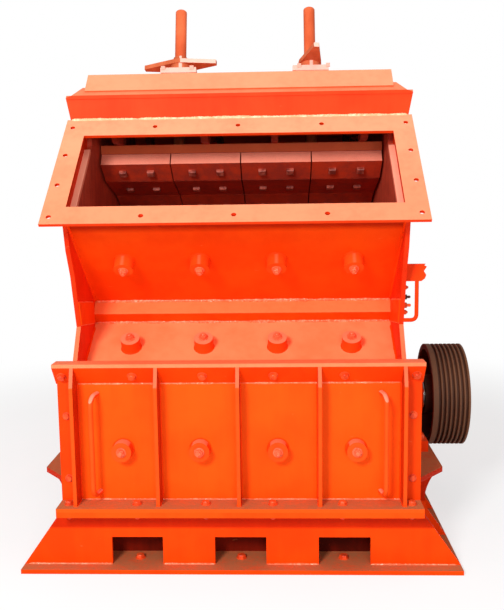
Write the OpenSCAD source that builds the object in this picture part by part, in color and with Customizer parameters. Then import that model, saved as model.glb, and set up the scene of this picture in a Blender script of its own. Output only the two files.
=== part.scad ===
// Impact crusher for second-stage crushing, with its feed mouth at the front (-Y)
// and its belt pulley on the right (+X). Millimetres, +Z up.
// The origin is on the ground, at the centre of the base plate.
// Lengths that name a place along the machine count back from the base plate's front edge.

/* [Base frame] */
// Width of the base plate
base_width = 2000; // [1900:10:2200]
// Length of the base plate
base_length = 2200; // [2150:10:2400]
// Thickness of the base plate
base_plate_t = 20; // [12:1:30]
// Height of the base frame, to the top of its flange
base_height = 310; // [300:5:330]
// Thickness of the flange on top of the base frame
base_flange_t = 25; // [16:1:32]
// Width over the base flange
base_flange_width = 1626; // [1610:2:1680]
// How far the base flange stands out in front of the base plate
base_flange_lip = 45; // [10:5:60]
// Thickness of the walls and gussets of the base frame
base_wall_t = 20; // [12:1:25]
// Place of the end plates' outer faces
end_plate_setback = 63; // [40:1:90]
// Place of the cross walls' outer faces
cross_wall_setback = 200; // [180:5:240]
// Width of each cut-out in the end plates
cutout_width = 235; // [180:5:260]
// Height of each cut-out in the end plates
cutout_height = 130; // [90:5:160]
// Distance between the cut-outs' centres, and between the anchor bolts
anchor_pitch = 474; // [420:2:520]
// Diameter of the anchor bolt holes
anchor_hole_d = 36; // [26:1:45]
// Place of the anchor bolt rows
anchor_setback = 130; // [120:1:150]

/* [Housing] */
// Width over the side plates of the housing
housing_width = 1500; // [1480:5:1520]
// Thickness of the side plates
side_plate_t = 20; // [16:1:25]
// Thickness of the sloping walls, the rear walls and the flanges
wall_t = 16; // [10:1:20]
// Height of the joint between the lower and the upper housing
split_height = 1105; // [1095:5:1115]
// Place of the joint between the front and the rear half of the upper housing
half_joint = 1440; // [1420:5:1500]
// Place of the rear wall's outer face, from the base plate's rear edge
rear_wall_setback = 87; // [80:1:110]
// Height of the rear wall's bend into the rear roof
rear_bend_height = 1580; // [1500:10:1700]
// Length of the flat roof behind the half joint
rear_flat = 160; // [120:10:220]
// Height of the roof
roof_height = 2285; // [2275:1:2300]
// Thickness of the roof plates
roof_t = 8; // [6:1:12]
// Width of the flanges along the outside of the housing's joints
joint_flange_width = 55; // [45:5:60]
// Thickness of the wear liners on the side plates
liner_t = 22; // [16:1:24]
// Leg of the angle bar across the front, between the two sloping walls
angle_leg = 80; // [70:1:85]
// Thickness of the angle bar
angle_t = 10; // [8:1:14]

/* [Feed flange] */
// Width over the feed flange
flange_width = 1630; // [1610:5:1660]
// Thickness of the feed flange
flange_t = 14; // [10:1:20]
// Width of the feed opening
mouth_width = 1434; // [1400:2:1440]
// Length of the feed opening up its slope
mouth_length = 495; // [440:5:520]
// Place of the lower bolt row in front of the base plate
flange_reach = 62; // [40:1:80]
// Depth of the lower bolt row below the roof
flange_drop = 670; // [650:1:690]
// Distance between the lower and the upper bolt row
flange_rows = 618.6; // [600:0.1:630]
// Distance between the bolts of a row
flange_pitch = 390; // [360:1:395]
// Diameter of the flange's bolt holes
flange_hole_d = 22; // [14:1:26]

/* [Front cover] */
// Width of the front cover
cover_width = 1626; // [1610:2:1630]
// Thickness of the cover plate, and of the frame behind it
cover_t = 16; // [10:1:20]
// Height of the top of the cover's upper flange
cover_top = 967; // [955:1:980]
// Depth of the stiffening ribs
rib_depth = 92; // [70:1:100]
// Thickness of the stiffening ribs
rib_t = 16; // [10:1:20]
// Distance between neighbouring inner ribs
rib_pitch = 360; // [340:1:370]
// Diameter of the round bar of the handles
handle_d = 22; // [16:1:25]
// Distance from the cover plate to the middle of a handle's grip
handle_reach = 80; // [60:1:90]
// Diameter of the liner bolt bosses
boss_d = 90; // [70:1:100]
// Height of the liner bolt bosses
boss_height = 58; // [40:1:65]
// Distance between neighbouring bosses
boss_pitch = 350; // [330:1:360]

/* [Rotor] */
// Diameter over the blow bars
rotor_d = 1100; // [1000:10:1120]
// Length of the blow bars
rotor_length = 1380; // [1300:5:1390]
// Place of the rotor axis along the machine
rotor_y = 900; // [890:1:920]
// Height of the rotor axis
rotor_z = 610; // [600:1:620]
// How far the blow bars stand out past the rotor's discs
bar_stand = 80; // [60:1:100]
// Thickness of a rotor disc
disc_t = 45; // [30:1:60]
// Number of rotor discs
disc_count = 7; // [5:1:9]
// Thickness of a blow bar
bar_t = 84; // [70:1:95]
// Height of a blow bar from its seat to its tip
bar_height = 230; // [200:5:240]
// Diameter of the shaft inside the rotor
shaft_d = 220; // [200:5:240]
// Diameter of the shaft in its bearings
journal_d = 160; // [140:5:170]
// Diameter of the shaft in the pulley
drive_d = 130; // [110:5:135]
// Radial clearance of the shaft in the bearings, and of the apron on its pivot
running_gap = 0.05; // [0.03:0.01:0.08]

/* [Drive] */
// Outside diameter of the belt pulley
pulley_d = 545; // [500:5:640]
// Width of the belt pulley
pulley_width = 190; // [180:5:220]
// Running gap between the bearing shelf's edge and the pulley
pulley_gap = 6; // [5:1:40]
// Number of belt grooves
groove_count = 7; // [5:1:8]
// Depth of a belt groove
groove_depth = 16; // [12:1:20]
// Thickness of the pulley's rim under its grooves
pulley_rim_t = 14; // [10:1:24]
// Extra width of the pulley's smooth inner edge
pulley_edge = 17; // [4:1:24]

/* [Bearings] */
// Height of the bearing shelf's upper face
shelf_height = 380; // [372:1:390]
// Thickness of the bearing shelf
shelf_t = 25; // [16:1:30]
// Distance from the middle of the machine to the shelf's outer edge
shelf_reach = 970; // [960:1:985]
// Half length of the bearing shelf along its outer edge
shelf_half_length = 540; // [500:5:580]
// Outside diameter of the bearing housing
housing_d = 340; // [300:5:380]
// Width of the bearing housing's base along the shaft
foot_width = 170; // [150:5:180]
// Length of the bearing housing's base
foot_length = 620; // [560:10:680]
// Thickness of the bearing housing's base
foot_t = 55; // [40:1:70]

/* [Front apron] */
// Place of the apron's pivot along the machine
pivot_y = 548; // [545:1:555]
// Depth of the apron's pivot below the roof
pivot_drop = 253; // [245:1:260]
// Gap between the blow bars' tips and the apron's lower edge
crush_gap = 95; // [60:1:120]
// Diameter of the apron's pivot shaft
pivot_d = 90; // [70:1:100]
// Width of the apron
apron_width = 1400; // [1380:2:1404]
// Thickness of the apron's liner plates
plate_t = 65; // [50:1:70]
// Gap between neighbouring liner plates
plate_gap = 6; // [3:1:10]
// Thickness of the apron's backing plate
backing_t = 30; // [20:1:40]

/* [Adjusting rods] */
// Distance from the middle of the machine to each adjusting rod
rod_x = 370; // [350:1:390]
// Place of the rods where they leave their pads
rod_y = 1272; // [1262:1:1282]
// Angle by which the rods lean back
rod_lean = 18; // [16:0.5:20]
// Diameter of the adjusting rods
rod_d = 65; // [50:1:70]
// Length of the rods above their pads
rod_stand = 405; // [380:1:430]
// Side of the square pad under each rod's nut
pad_side = 200; // [180:1:220]
// Thickness of the pads
pad_t = 30; // [20:1:40]
// Height of the pads' upper faces above the roof, at the rods
pad_height = 100; // [90:1:115]
// Length of the diamond-shaped lock plate
lock_length = 420; // [380:5:440]
// Width of the diamond-shaped lock plate
lock_width = 126; // [110:1:140]
// Diameter of the pin that joins a rod to the apron
link_pin_d = 50; // [40:1:55]

/* [Hidden] */

PAINT = [0.95, 0.27, 0.05];
BROWN = [0.45, 0.20, 0.14];
STEEL = [0.35, 0.30, 0.27];
DARK = [0.12, 0.10, 0.09];
eps = 1;                         // overshoot of a cut past the face that it opens
fuse = 2;                        // overlap that welds two pieces of one node together
seat = 0.3;                      // gap between a moving piece and the seat that it rests on
bolted = 0.1;                    // gap between a bolted piece and a slanting face that it lies on

inner_half = housing_width / 2 - side_plate_t;
outer_half = housing_width / 2;
base_flange_z = base_height - base_flange_t;
rear_y = base_length - rear_wall_setback - wall_t;     // rear end of the side plates
axis = [rotor_y, rotor_z];
pivot = [pivot_y, roof_height - pivot_drop];
disc_d = rotor_d - 2 * bar_stand;

// ---- Shared geometry ---------------------------------------------------------------------

// Crossing point of the line through p along u with the line through q along v
function meet(p, u, q, v) = p + u * cross(q - p, v) / cross(u, v);
// Unit vector at an angle, and the same turned a quarter to the left
function along(a) = [cos(a), sin(a)];
function left_of(u) = [-u[1], u[0]];
function unit(v) = v / norm(v);
// Points of a quadratic curve from p to r, pulled towards q
function bend(p, q, r, n) = [for (i = [0 : n]) let (t = i / n) (1 - t) * (1 - t) * p + 2 * t * (1 - t) * q + t * t * r];

// Moves what is placed from the base plate's front edge to the part's own origin
module placed() translate([0, -base_length / 2, 0]) children();
// Extrudes a Y-Z outline along X, from x over a thickness t
module profile(x, t) translate([x, 0, 0]) rotate([90, 0, 90]) linear_extrude(t) children();
// Extrudes an X-Z outline along Y, from y over a thickness t
module upright(y, t) translate([0, y + t, 0]) rotate([90, 0, 0]) linear_extrude(t) children();
// Extrudes a Y-Z outline over the whole width between two planes x = -half and x = half
module across(half) profile(-half, 2 * half) children();
module both_sides() {
    children();
    mirror([1, 0, 0]) children();
}
// Box between two opposite corners
module block(a, b) translate(a) cube(b - a);
module row(pitch, count) for (i = [0 : count - 1]) translate([(i - (count - 1) / 2) * pitch, 0, 0]) children();

// ---- Base frame ---------------------------------------------------------------------------

flare = (base_width - base_flange_width) / 2 / (base_flange_z - base_plate_t);   // slope of the flared ends
discharge_half = inner_half - 30;
discharge_front = cross_wall_setback + base_wall_t;

module base_plate() color(PAINT) placed() difference() {
    block([-base_width / 2, 0, 0], [base_width / 2, base_length, base_plate_t]);
    block([-discharge_half, discharge_front, -eps],
          [discharge_half, base_length - discharge_front, base_plate_t + eps]);
    for (y = [anchor_setback, base_length - anchor_setback])
        translate([0, y, -eps]) row(anchor_pitch, 3)
            cylinder(d = anchor_hole_d, h = base_plate_t + 2 * eps, $fn = 48);
}

module end_outline() difference() {
    polygon([[-base_width / 2, base_plate_t], [base_width / 2, base_plate_t],
             [base_flange_width / 2, base_flange_z], [-base_flange_width / 2, base_flange_z]]);
    translate([0, base_plate_t - eps]) row(anchor_pitch, 3)
        translate([-cutout_width / 2, 0]) square([cutout_width, cutout_height + eps]);
}

module base_end_plates() color(PAINT) placed() {
    upright(end_plate_setback, base_wall_t) end_outline();
    upright(base_length - end_plate_setback - base_wall_t, base_wall_t) end_outline();
}

module base_side_walls() color(PAINT) placed() both_sides()
    block([outer_half - base_wall_t, end_plate_setback + base_wall_t, base_plate_t],
          [outer_half, base_length - end_plate_setback - base_wall_t, base_flange_z]);

module base_cross_walls() color(PAINT) placed()
    for (y = [cross_wall_setback, base_length - cross_wall_setback - base_wall_t])
        block([-(outer_half - base_wall_t), y, base_plate_t],
              [outer_half - base_wall_t, y + base_wall_t, base_flange_z]);

shelf_chamfer = 150;                             // length of the bearing shelves' slanted ends
shelf_shoulder = 840;                            // from the middle of the machine to their inner corners
shelf_end = 20;
shelf_half = shelf_half_length + shelf_chamfer + shelf_end;
gusset_pitch = 220;
gusset_y = [for (i = [0 : 1]) rotor_y + shelf_half + (i + 0.5) * gusset_pitch];

module base_gussets() color(PAINT) placed() both_sides() for (y = gusset_y)
    upright(y, base_wall_t)
        polygon([[outer_half, base_plate_t], [base_width / 2, base_plate_t],
                 [base_flange_width / 2, base_flange_z], [outer_half, base_flange_z]]);

module base_flange() color(PAINT) placed() difference() {
    block([-base_flange_width / 2, -base_flange_lip, base_flange_z],
          [base_flange_width / 2, base_length + base_flange_lip, base_height]);
    block([-inner_half, discharge_front, base_flange_z - eps],
          [inner_half, base_length - discharge_front, base_height + eps]);
}

// ---- Front cover and the frame that it is bolted to ------------------------------------------

cover_face = 75;                                // outer face of the cover plate
frame_face = cover_face + cover_t;              // outer face of the frame behind it
frame_back = frame_face + cover_t;
frame_top = cover_top - wall_t + 4;
edge_bar = 81;                                  // width of the flat bars down both edges of the cover
rib_end = cover_width / 2 - edge_bar;
rib_xs = [-rib_end, -rib_pitch, 0, rib_pitch, rib_end];
cover_flange_z = base_height + wall_t;          // top of the cover's lower flange
hood_depth = 65;                                // depth of the cover's upper flange, in front of the plate
hood_half = cover_width / 2 + 7;
hood_front = cover_face - hood_depth;
hood_z = cover_top - wall_t;                    // underside of the upper flange
sloping_bar_low = hood_z - 85;
bar_proud = 10;                                 // how far the cover's flat bars stand out
opening_half = 640;                             // half width of the opening behind the cover
opening_low = base_height + 100;
opening_height = 430;

module cover_frame() color(PAINT) placed() upright(frame_face, cover_t) difference() {
    translate([-cover_width / 2, base_height]) square([cover_width, frame_top - base_height]);
    translate([-opening_half, opening_low]) square([2 * opening_half, opening_height]);
}

module cover_plate() color(PAINT) placed()
    block([-cover_width / 2, cover_face, base_height], [cover_width / 2, frame_face, hood_z]);

// Each rib's upper end slopes back to the front edge of the upper flange
module cover_ribs() color(PAINT) placed() for (x = rib_xs) profile(x - rib_t / 2, rib_t)
    polygon([[cover_face, cover_flange_z], [cover_face - rib_depth, cover_flange_z],
             [cover_face - rib_depth, sloping_bar_low], [hood_front, hood_z], [cover_face, hood_z]]);

module cover_flanges() color(PAINT) placed() {
    block([-base_flange_width / 2, -base_flange_lip, base_height],
          [base_flange_width / 2, cover_face, cover_flange_z]);
    block([-hood_half, hood_front, hood_z], [hood_half, frame_face, cover_top]);
}

// Bars between the ribs that slope from the plate out to the upper flange, and flat bars down both edges
sloping_bar = [[cover_face, sloping_bar_low], [hood_front, hood_z], [hood_front + wall_t, hood_z],
               [cover_face, sloping_bar_low + wall_t * (hood_z - sloping_bar_low) / hood_depth]];
module cover_bars() color(PAINT) placed() {
    for (i = [0 : len(rib_xs) - 2])
        profile(rib_xs[i] + rib_t / 2, rib_xs[i + 1] - rib_xs[i] - rib_t) polygon(sloping_bar);
    both_sides() {
        profile(rib_end + rib_t / 2, hood_half - rib_end - rib_t / 2) polygon(sloping_bar);
        block([rib_end + rib_t / 2, cover_face - bar_proud, cover_flange_z],
              [cover_width / 2, cover_face, hood_z]);
    }
}

// Bent round bar: grip, two bends and two feet that turn towards the middle
handle_low = base_height + 55;
handle_length = 455;
handle_x = rib_end - 82;
handle_bend = 45;
handle_turn = 10;                               // how far the feet turn towards the middle
handle_foot = handle_d * tan(handle_turn);       // extra length of the turned feet, cut off at the cover

module quarter_bend(r, d) rotate_extrude(angle = 90, $fn = 48) translate([r, 0]) circle(d = d, $fn = 24);

module handle_half(reach, half, r, d) {
    cylinder(d = d, h = half - r, $fn = 24);
    translate([r, 0, half - r]) rotate([90, 0, 180]) quarter_bend(r, d);
    translate([r, 0, half]) rotate([0, 90, 0]) cylinder(d = d, h = reach - r, $fn = 24);
}

// A handle whose grip is upright at the origin and whose feet point along +X
module handle(reach, half, r, d) {
    handle_half(reach, half, r, d);
    mirror([0, 0, 1]) handle_half(reach, half, r, d);
}

module cover_handles() color(PAINT) placed() both_sides() difference() {
    translate([handle_x, cover_face - handle_reach, handle_low + handle_length / 2])
        rotate([0, 0, 90 + handle_turn])
            handle(handle_reach / cos(handle_turn) + handle_foot, handle_length / 2, handle_bend, handle_d);
    block([0, cover_face, 0], [cover_width, cover_face + handle_reach, cover_top]);
}

// ---- Lower housing ----------------------------------------------------------------------------

// Sloping front wall of the lower housing: its outer face rises from the cover frame to the angle bar
bar_tip = [453, split_height + 22];             // front edge of the angle bar
bar_high = bar_tip + angle_leg * along(45);
bar_low = bar_tip + angle_leg * along(-45);
low_angle = 31.45;
low_slope = along(low_angle);
low_top = bar_low + [-9, 6];
low_foot = meet(low_top, low_slope, [frame_back, 0], [0, 1]);
low_back = -wall_t * left_of(low_slope);

module lower_front_wall() color(PAINT) placed() across(inner_half)
    polygon([low_foot, low_top, low_top + low_back, meet(low_top + low_back, low_slope, [frame_back, 0], [0, 1])]);

cheek_foot = 204;                               // front edge of the side plates at the split
lower_outline = [[frame_back, base_height], [rear_y, base_height], [rear_y, split_height],
                 [cheek_foot, split_height], [frame_back, frame_top]];
shaft_hole_d = journal_d + 24;

module shaft_hole() translate(axis) circle(d = shaft_hole_d, $fn = 72);

module lower_side_plates() color(PAINT) placed() both_sides() profile(inner_half, side_plate_t)
    difference() {
        polygon(lower_outline);
        shaft_hole();
    }

module lower_rear_wall() color(PAINT) placed()
    block([-outer_half, rear_y, base_height], [outer_half, rear_y + wall_t, split_height]);

// Bosses over the liner bolts, along three rows: cover, lower front wall, upper front wall
cover_boss_z = cover_flange_z + 238;
low_boss_drop = 185;                            // from the angle bar down to the lower wall's bosses
module boss_row(y, z, tilt) translate([0, y, z]) rotate([tilt, 0, 0]) row(boss_pitch, 4)
    cylinder(d = boss_d, h = boss_height, $fn = 48);

module liner_bolt_bosses() color(PAINT) placed() {
    boss_row(cover_face, cover_boss_z, 90);
    boss_row(low_mid[0], low_mid[1], low_angle);
    boss_row(high_mid[0], high_mid[1], 180 - high_angle);
}

// ---- Upper housing, front half ------------------------------------------------------------------

flange_angle = 41.2;
flange_row = [-flange_reach, roof_height - flange_drop]; // lower bolt row, on the outer face of the flange
flange_u = along(flange_angle);
flange_n = left_of(flange_u);
flange_under = flange_row - flange_t * flange_n; // a point of the flange's underside
flange_low_edge = -45;                           // edges of the flange up its slope, from the lower bolt row
bar_y = 450;                                     // front face of the upright bar at the flange's upper edge
flange_high_edge = (bar_y + flange_reach) / cos(flange_angle) - bolted;
side_bolt_inset = 35;
mouth_low = (flange_rows - mouth_length) / 2;

high_angle = 40;
high_foot = bar_high;                            // outer face of the upper sloping wall, at the angle bar
high_u = along(180 - high_angle);
high_in = -wall_t * left_of(high_u);
high_top = meet(high_foot, high_u, flange_under, flange_u);
low_mid = low_top - low_slope * low_boss_drop;
high_mid = (high_foot + high_top) / 2;

module upper_front_wall() color(PAINT) placed() across(inner_half)
    polygon([high_foot, high_foot + high_in, meet(high_foot + high_in, high_u, flange_under, flange_u), high_top]);

module angle_bar() color(PAINT) placed() across(inner_half) translate(bar_tip) rotate(-45) {
    square([angle_leg, angle_t]);
    square([angle_t, angle_leg]);
}

module on_flange() placed() translate([0, flange_row[0], flange_row[1]]) rotate([flange_angle, 0, 0]) children();

side_hole_x = flange_width / 2 - side_bolt_inset;
side_hole_s = [flange_rows / 3, flange_rows * 2 / 3];

module feed_flange() color(PAINT) on_flange() difference() {
    block([-flange_width / 2, flange_low_edge, -flange_t], [flange_width / 2, flange_high_edge, 0]);
    block([-mouth_width / 2, mouth_low, -flange_t - eps], [mouth_width / 2, mouth_low + mouth_length, eps]);
    for (s = [0, flange_rows]) translate([0, s, -flange_t - eps]) row(flange_pitch, 5)
        cylinder(d = flange_hole_d, h = flange_t + 2 * eps, $fn = 32);
    for (x = [-side_hole_x, side_hole_x], s = side_hole_s) translate([x, s, -flange_t - eps])
        cylinder(d = flange_hole_d, h = flange_t + 2 * eps, $fn = 32);
}

top_bar_t = 14;
shoulder_z = roof_height - 121;                  // top of the upright bar
shoulder_drop = 17;                              // height of the sloping shoulder plate's front edge
shoulder_nose = 5;                               // how far it stands out in front of the bar
shoulder_rise = 70;                              // length of the shoulder plate up its slope
shoulder_t = shoulder_drop * cos(45);
shoulder_at = [bar_y - shoulder_nose, shoulder_z - shoulder_nose];   // a point of its underside
tab = [4, 28, 75];                               // steps in from its ends: at the edge, at the tab and at the top
bar_foot = meet([bar_y, 0], [0, 1], flange_row, flange_u);
flange_end = bar_foot - flange_t * flange_n;     // the flange's edge, on its underside
bar_under = meet([bar_y + top_bar_t, 0], [0, 1], flange_under, flange_u);
shoulder_half = flange_width / 2 + 5;
bar_foot_half = flange_width / 2 - 15;
roof_line = [bar_y, shoulder_z + shoulder_drop];  // a point of the shoulder plate's upper face, at 45 degrees

module shoulder() intersection() {
    translate([0, shoulder_at[0], shoulder_at[1]]) rotate([45, 0, 0])
        linear_extrude(shoulder_t) polygon([
            [-shoulder_half, -shoulder_rise], [shoulder_half, -shoulder_rise],
            [shoulder_half - tab[0], 6], [shoulder_half - tab[1], 12], [shoulder_half - tab[2], shoulder_rise],
            [tab[2] - shoulder_half, shoulder_rise], [tab[1] - shoulder_half, 12], [tab[0] - shoulder_half, 6]]);
    block([-shoulder_half, bar_y - shoulder_nose, 0], [shoulder_half, bar_y + 2 * shoulder_rise, roof_height]);
}

module top_bar() color(PAINT) placed() {
    upright_ends() across(shoulder_half) polygon([bar_foot, flange_end, bar_under,
        [bar_y + top_bar_t, shoulder_z + top_bar_t + fuse], [bar_y, shoulder_z + fuse]]);
    shoulder();
}

// Cuts the ends of the upright bar so that it is narrower at its foot
module upright_ends() intersection() {
    children();
    upright(bar_y - eps, top_bar_t + 2 * eps)
        polygon([[-shoulder_half, shoulder_z + top_bar_t], [shoulder_half, shoulder_z + top_bar_t],
                 [shoulder_half, shoulder_z], [bar_foot_half, bar_foot[1]], [bar_foot_half, flange_end[1] - eps],
                 [-bar_foot_half, flange_end[1] - eps], [-bar_foot_half, bar_foot[1]], [-shoulder_half, shoulder_z]]);
}

// The roof's upper face, from the foot of the front slope to the half joint, and on to the rear wall
roof_foot = roof_line + [6, 6 + roof_t * sqrt(2)];
roof_knee = [roof_foot[0] + roof_height - roof_foot[1], roof_height];
front_roof_line = [roof_foot, roof_knee, [half_joint, roof_height]];
rear_roof_line = [[half_joint, roof_height], [half_joint + rear_flat, roof_height],
                  [rear_y + wall_t, rear_bend_height]];
roof_rise = 70;                                  // how far the roof stands above the side plates
skirt_depth = roof_rise + 30;                    // depth of the skirts that join it to them
rod_clearance = 7;                               // play of a rod in the holes of its pad and the roof
rod_hole_d = rod_d + 2 * rod_clearance;
rod_dir = along(90 - rod_lean);
pad_at = [rod_y, roof_height + pad_height];      // middle of the pads' upper faces

// Places its children on both rods' axes, with the origin on the pad's upper face and +Z up the rod
module on_rods() placed() for (x = [-rod_x, rod_x])
    translate([x, pad_at[0], pad_at[1]]) rotate([-rod_lean, 0, 0]) children();

// Line beside a chain of points, at a distance to its left
function beside(pts, d) = [for (i = [0 : len(pts) - 1]) let (
    before = left_of(unit(pts[max(i, 1)] - pts[max(i, 1) - 1])),
    after = left_of(unit(pts[min(i + 1, len(pts) - 1)] - pts[min(i, len(pts) - 2)])))
    pts[i] + d * (before + after) / (1 + before * after)];
function reversed(pts) = [for (i = [len(pts) - 1 : -1 : 0]) pts[i]];
// Closed outline of a strip between two distances to the left of a chain of points
module strip(pts, from, to) polygon(concat(beside(pts, from), reversed(beside(pts, to))));

lg = 6;                                          // gap between a liner and the walls round it
high_inner = high_foot + high_in;
wall_line = high_inner + [0, lg * 1.5];          // the upper front wall's inner face, and a gap
chute_bar_w = 28;
chute_bar_t = 20;
chute_bar_in = 66;                               // from the flange's underside to the bars inside the mouth
chute_bar_end = flange_under + (mouth_low + mouth_length) * flange_u;

// Bars down both sides of the mouth, inside the side plates, in front of the liners
module chute_bars() color(PAINT) placed() both_sides() profile(inner_half - chute_bar_w, chute_bar_w) {
    front = flange_under - chute_bar_in * flange_n;
    back = front - chute_bar_t * flange_n;
    polygon([meet(front, flange_u, wall_line, high_u), chute_bar_end - chute_bar_in * flange_n,
             chute_bar_end - (chute_bar_in + chute_bar_t) * flange_n, meet(back, flange_u, wall_line, high_u)]);
}

module front_roof() color(PAINT) difference() {
    placed() across(inner_half) strip(front_roof_line, 0, -roof_t);
    on_rods() translate([0, 0, -2 * pad_height]) cylinder(d = rod_hole_d, h = 2 * pad_height, $fn = 48);
}

// Front edge of the upper side plates: places, and shares of the height from the split to the flange
cheek_rise = flange_row[1] - split_height;
cheek = [for (p = [[cheek_foot, 0], [129, 0.476], [69, 0.704], [42, 0.908]]) [p[0], split_height + p[1] * cheek_rise]];
cheek_top = meet(cheek[3], cheek[3] - cheek[2], flange_under, flange_u);
front_edge_line = beside(front_roof_line, -roof_rise);
rear_edge_line = beside(rear_roof_line, -roof_rise);
side_corner = [bar_y + top_bar_t, shoulder_z - shoulder_drop];   // where the side plates leave the upright bar
upper_outline = concat(cheek, [cheek_top, bar_under, side_corner,
    meet(side_corner, along(45), front_edge_line[1], [1, 0]), front_edge_line[2], [half_joint, split_height]]);

module pivot_hole(at) translate(at) circle(d = pivot_d + 2 * running_gap, $fn = 64);

module upper_side_plates() color(PAINT) placed() both_sides() profile(inner_half, side_plate_t)
    difference() {
        polygon(upper_outline);
        pivot_hole(pivot);
    }

// Pedestals on the roof: an inclined pad square to its rod, on two side webs and a front web that lean with it
pad_web_t = 16;
pad_web_half = pad_side / 2 - 20;                // from the rod to the outer faces of the webs
pad_web_reach = pad_side / 2 - 12;

function pad_point(along_pad, down) = pad_at + along_pad * [rod_dir[1], -rod_dir[0]] - down * rod_dir;
function on_roof(p) = meet(p, rod_dir, [0, roof_height], [1, 0]);

module pad_webs() {
    front = pad_point(-pad_web_reach, pad_t - eps);
    rear = pad_point(pad_web_reach, pad_t - eps);
    front_in = front + pad_web_t * unit(rear - front);
    both_sides() profile(pad_web_half - pad_web_t, pad_web_t) polygon([on_roof(front), on_roof(rear), rear, front]);
    across(pad_web_half) polygon([on_roof(front), on_roof(front_in), front_in, front]);
}

module rod_pads() color(PAINT) {
    on_rods() difference() {
        translate([-pad_side / 2, -pad_side / 2, -pad_t]) cube([pad_side, pad_side, pad_t]);
        translate([0, 0, -pad_t - eps]) cylinder(d = rod_hole_d, h = pad_t + 2 * eps, $fn = 48);
    }
    placed() for (x = [-rod_x, rod_x]) translate([x, 0, 0]) pad_webs();
}

// Flat bars along the joints: the side bars run past the ends of the cross bars without touching them
flange_start = 620;                              // front end of the bars along the split
roof_flange = 40;                                // height of the half joint's flanges on the roof
outside = outer_half + joint_flange_width;
cross_half = outer_half - eps;
rear_face = rear_y + wall_t;

module split_bars(z, to) {
    both_sides() block([outer_half, flange_start, z], [outside, rear_face + joint_flange_width, z + wall_t]);
    block([-cross_half, rear_face, z], [cross_half, rear_face + joint_flange_width, z + wall_t]);
}

module lower_flange() color(PAINT) placed() split_bars(split_height - wall_t);

// One half's bars: along the split from one place to another, up the half joint, and over the roof
module half_bars(from, to, y) {
    both_sides() {
        block([outer_half, from, split_height], [outside, to, split_height + wall_t]);
        block([outer_half, y, split_height + wall_t], [outside, y + wall_t, front_edge_line[2][1]]);
    }
    block([-inner_half, y, roof_height], [inner_half, y + wall_t, roof_height + roof_flange]);
}

module front_half_flange() color(PAINT) placed() half_bars(flange_start, half_joint, half_joint - wall_t);

module rear_half_flange() color(PAINT) placed() {
    half_bars(half_joint, rear_face + joint_flange_width, half_joint);
    block([-cross_half, rear_face, split_height], [cross_half, rear_face + joint_flange_width, split_height + wall_t]);
}

// ---- Upper housing, rear half -------------------------------------------------------------------

rear_pivot = [half_joint + 100, roof_height - 175];
slope_in = beside(rear_roof_line, -roof_t - bolted);
slope_dir = unit(rear_roof_line[2] - rear_roof_line[1]);

module rear_side_plates() color(PAINT) placed() both_sides() profile(inner_half, side_plate_t)
    difference() {
        polygon([[half_joint, split_height], [rear_y, split_height],
                 meet([rear_y, 0], [0, 1], rear_edge_line[1], slope_dir), rear_edge_line[1], rear_edge_line[0]]);
        pivot_hole(rear_pivot);
    }

module rear_wall() color(PAINT) placed() across(outer_half)
    polygon([[rear_y, split_height], [rear_face, split_height], meet([rear_face, 0], [0, 1], slope_in[1], slope_dir),
             meet([rear_y, 0], [0, 1], slope_in[1], slope_dir)]);

// Frame of the rear rods: origin on the roof's outer face, z outwards
rear_rod_at = rear_roof_line[1] + slope_dir * 520;
rear_rod_in = 150;
rear_rod_out = 180;
rear_pad_t = 30;
nut_height = 45;
nut_d = 2 * rod_d;
module on_rear_slope() placed() translate([0, rear_rod_at[0], rear_rod_at[1]])
    rotate([atan2(slope_dir[1], slope_dir[0]), 0, 0]) children();

// Skirts under the edges of both roofs, which seat them between the side plates
module roof_skirts() color(PAINT) placed() both_sides() profile(inner_half - roof_t, roof_t) {
    difference() {
        intersection() {
            strip(front_roof_line, -roof_t, -skirt_depth);
            translate([bar_y + top_bar_t, split_height]) square([half_joint - bar_y - top_bar_t - eps, roof_height]);
        }
        translate(shoulder_at) rotate(45) translate([-2 * shoulder_rise, -bolted])
            square([3 * shoulder_rise + bolted, shoulder_t + roof_t]);
    }
    intersection() {
        strip(rear_roof_line, -roof_t, -skirt_depth);
        translate([half_joint, split_height]) square([rear_y - half_joint, roof_height]);
    }
}

module rear_roof() color(PAINT) difference() {
    placed() across(inner_half) strip(rear_roof_line, 0, -roof_t);
    on_rear_slope() for (x = [-rod_x, rod_x]) translate([x, 0, -3 * roof_t])
        cylinder(d = rod_hole_d, h = 6 * roof_t, $fn = 48);
}

module rear_apron_rods() color(STEEL) on_rear_slope() for (x = [-rod_x, rod_x]) translate([x, 0, 0]) {
    translate([0, 0, -rear_rod_in]) cylinder(d = rod_d, h = rear_rod_in + rear_rod_out, $fn = 48);
    translate([-pad_side / 2, -pad_side / 2, 0]) cube([pad_side, pad_side, rear_pad_t]);
    translate([0, 0, rear_pad_t]) cylinder(d = nut_d, h = nut_height, $fn = 6);
}

// ---- Wear liners on the side plates ------------------------------------------------------------------

liner_edge = 60;                                 // margin of the upper liners along the roofs and the angle bar
liner_front = flange_under - (chute_bar_in + chute_bar_t + lg) * flange_n;   // front edge of the upper liners
low_inner = low_top + low_back;
liner_low = base_height + 20;

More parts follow.
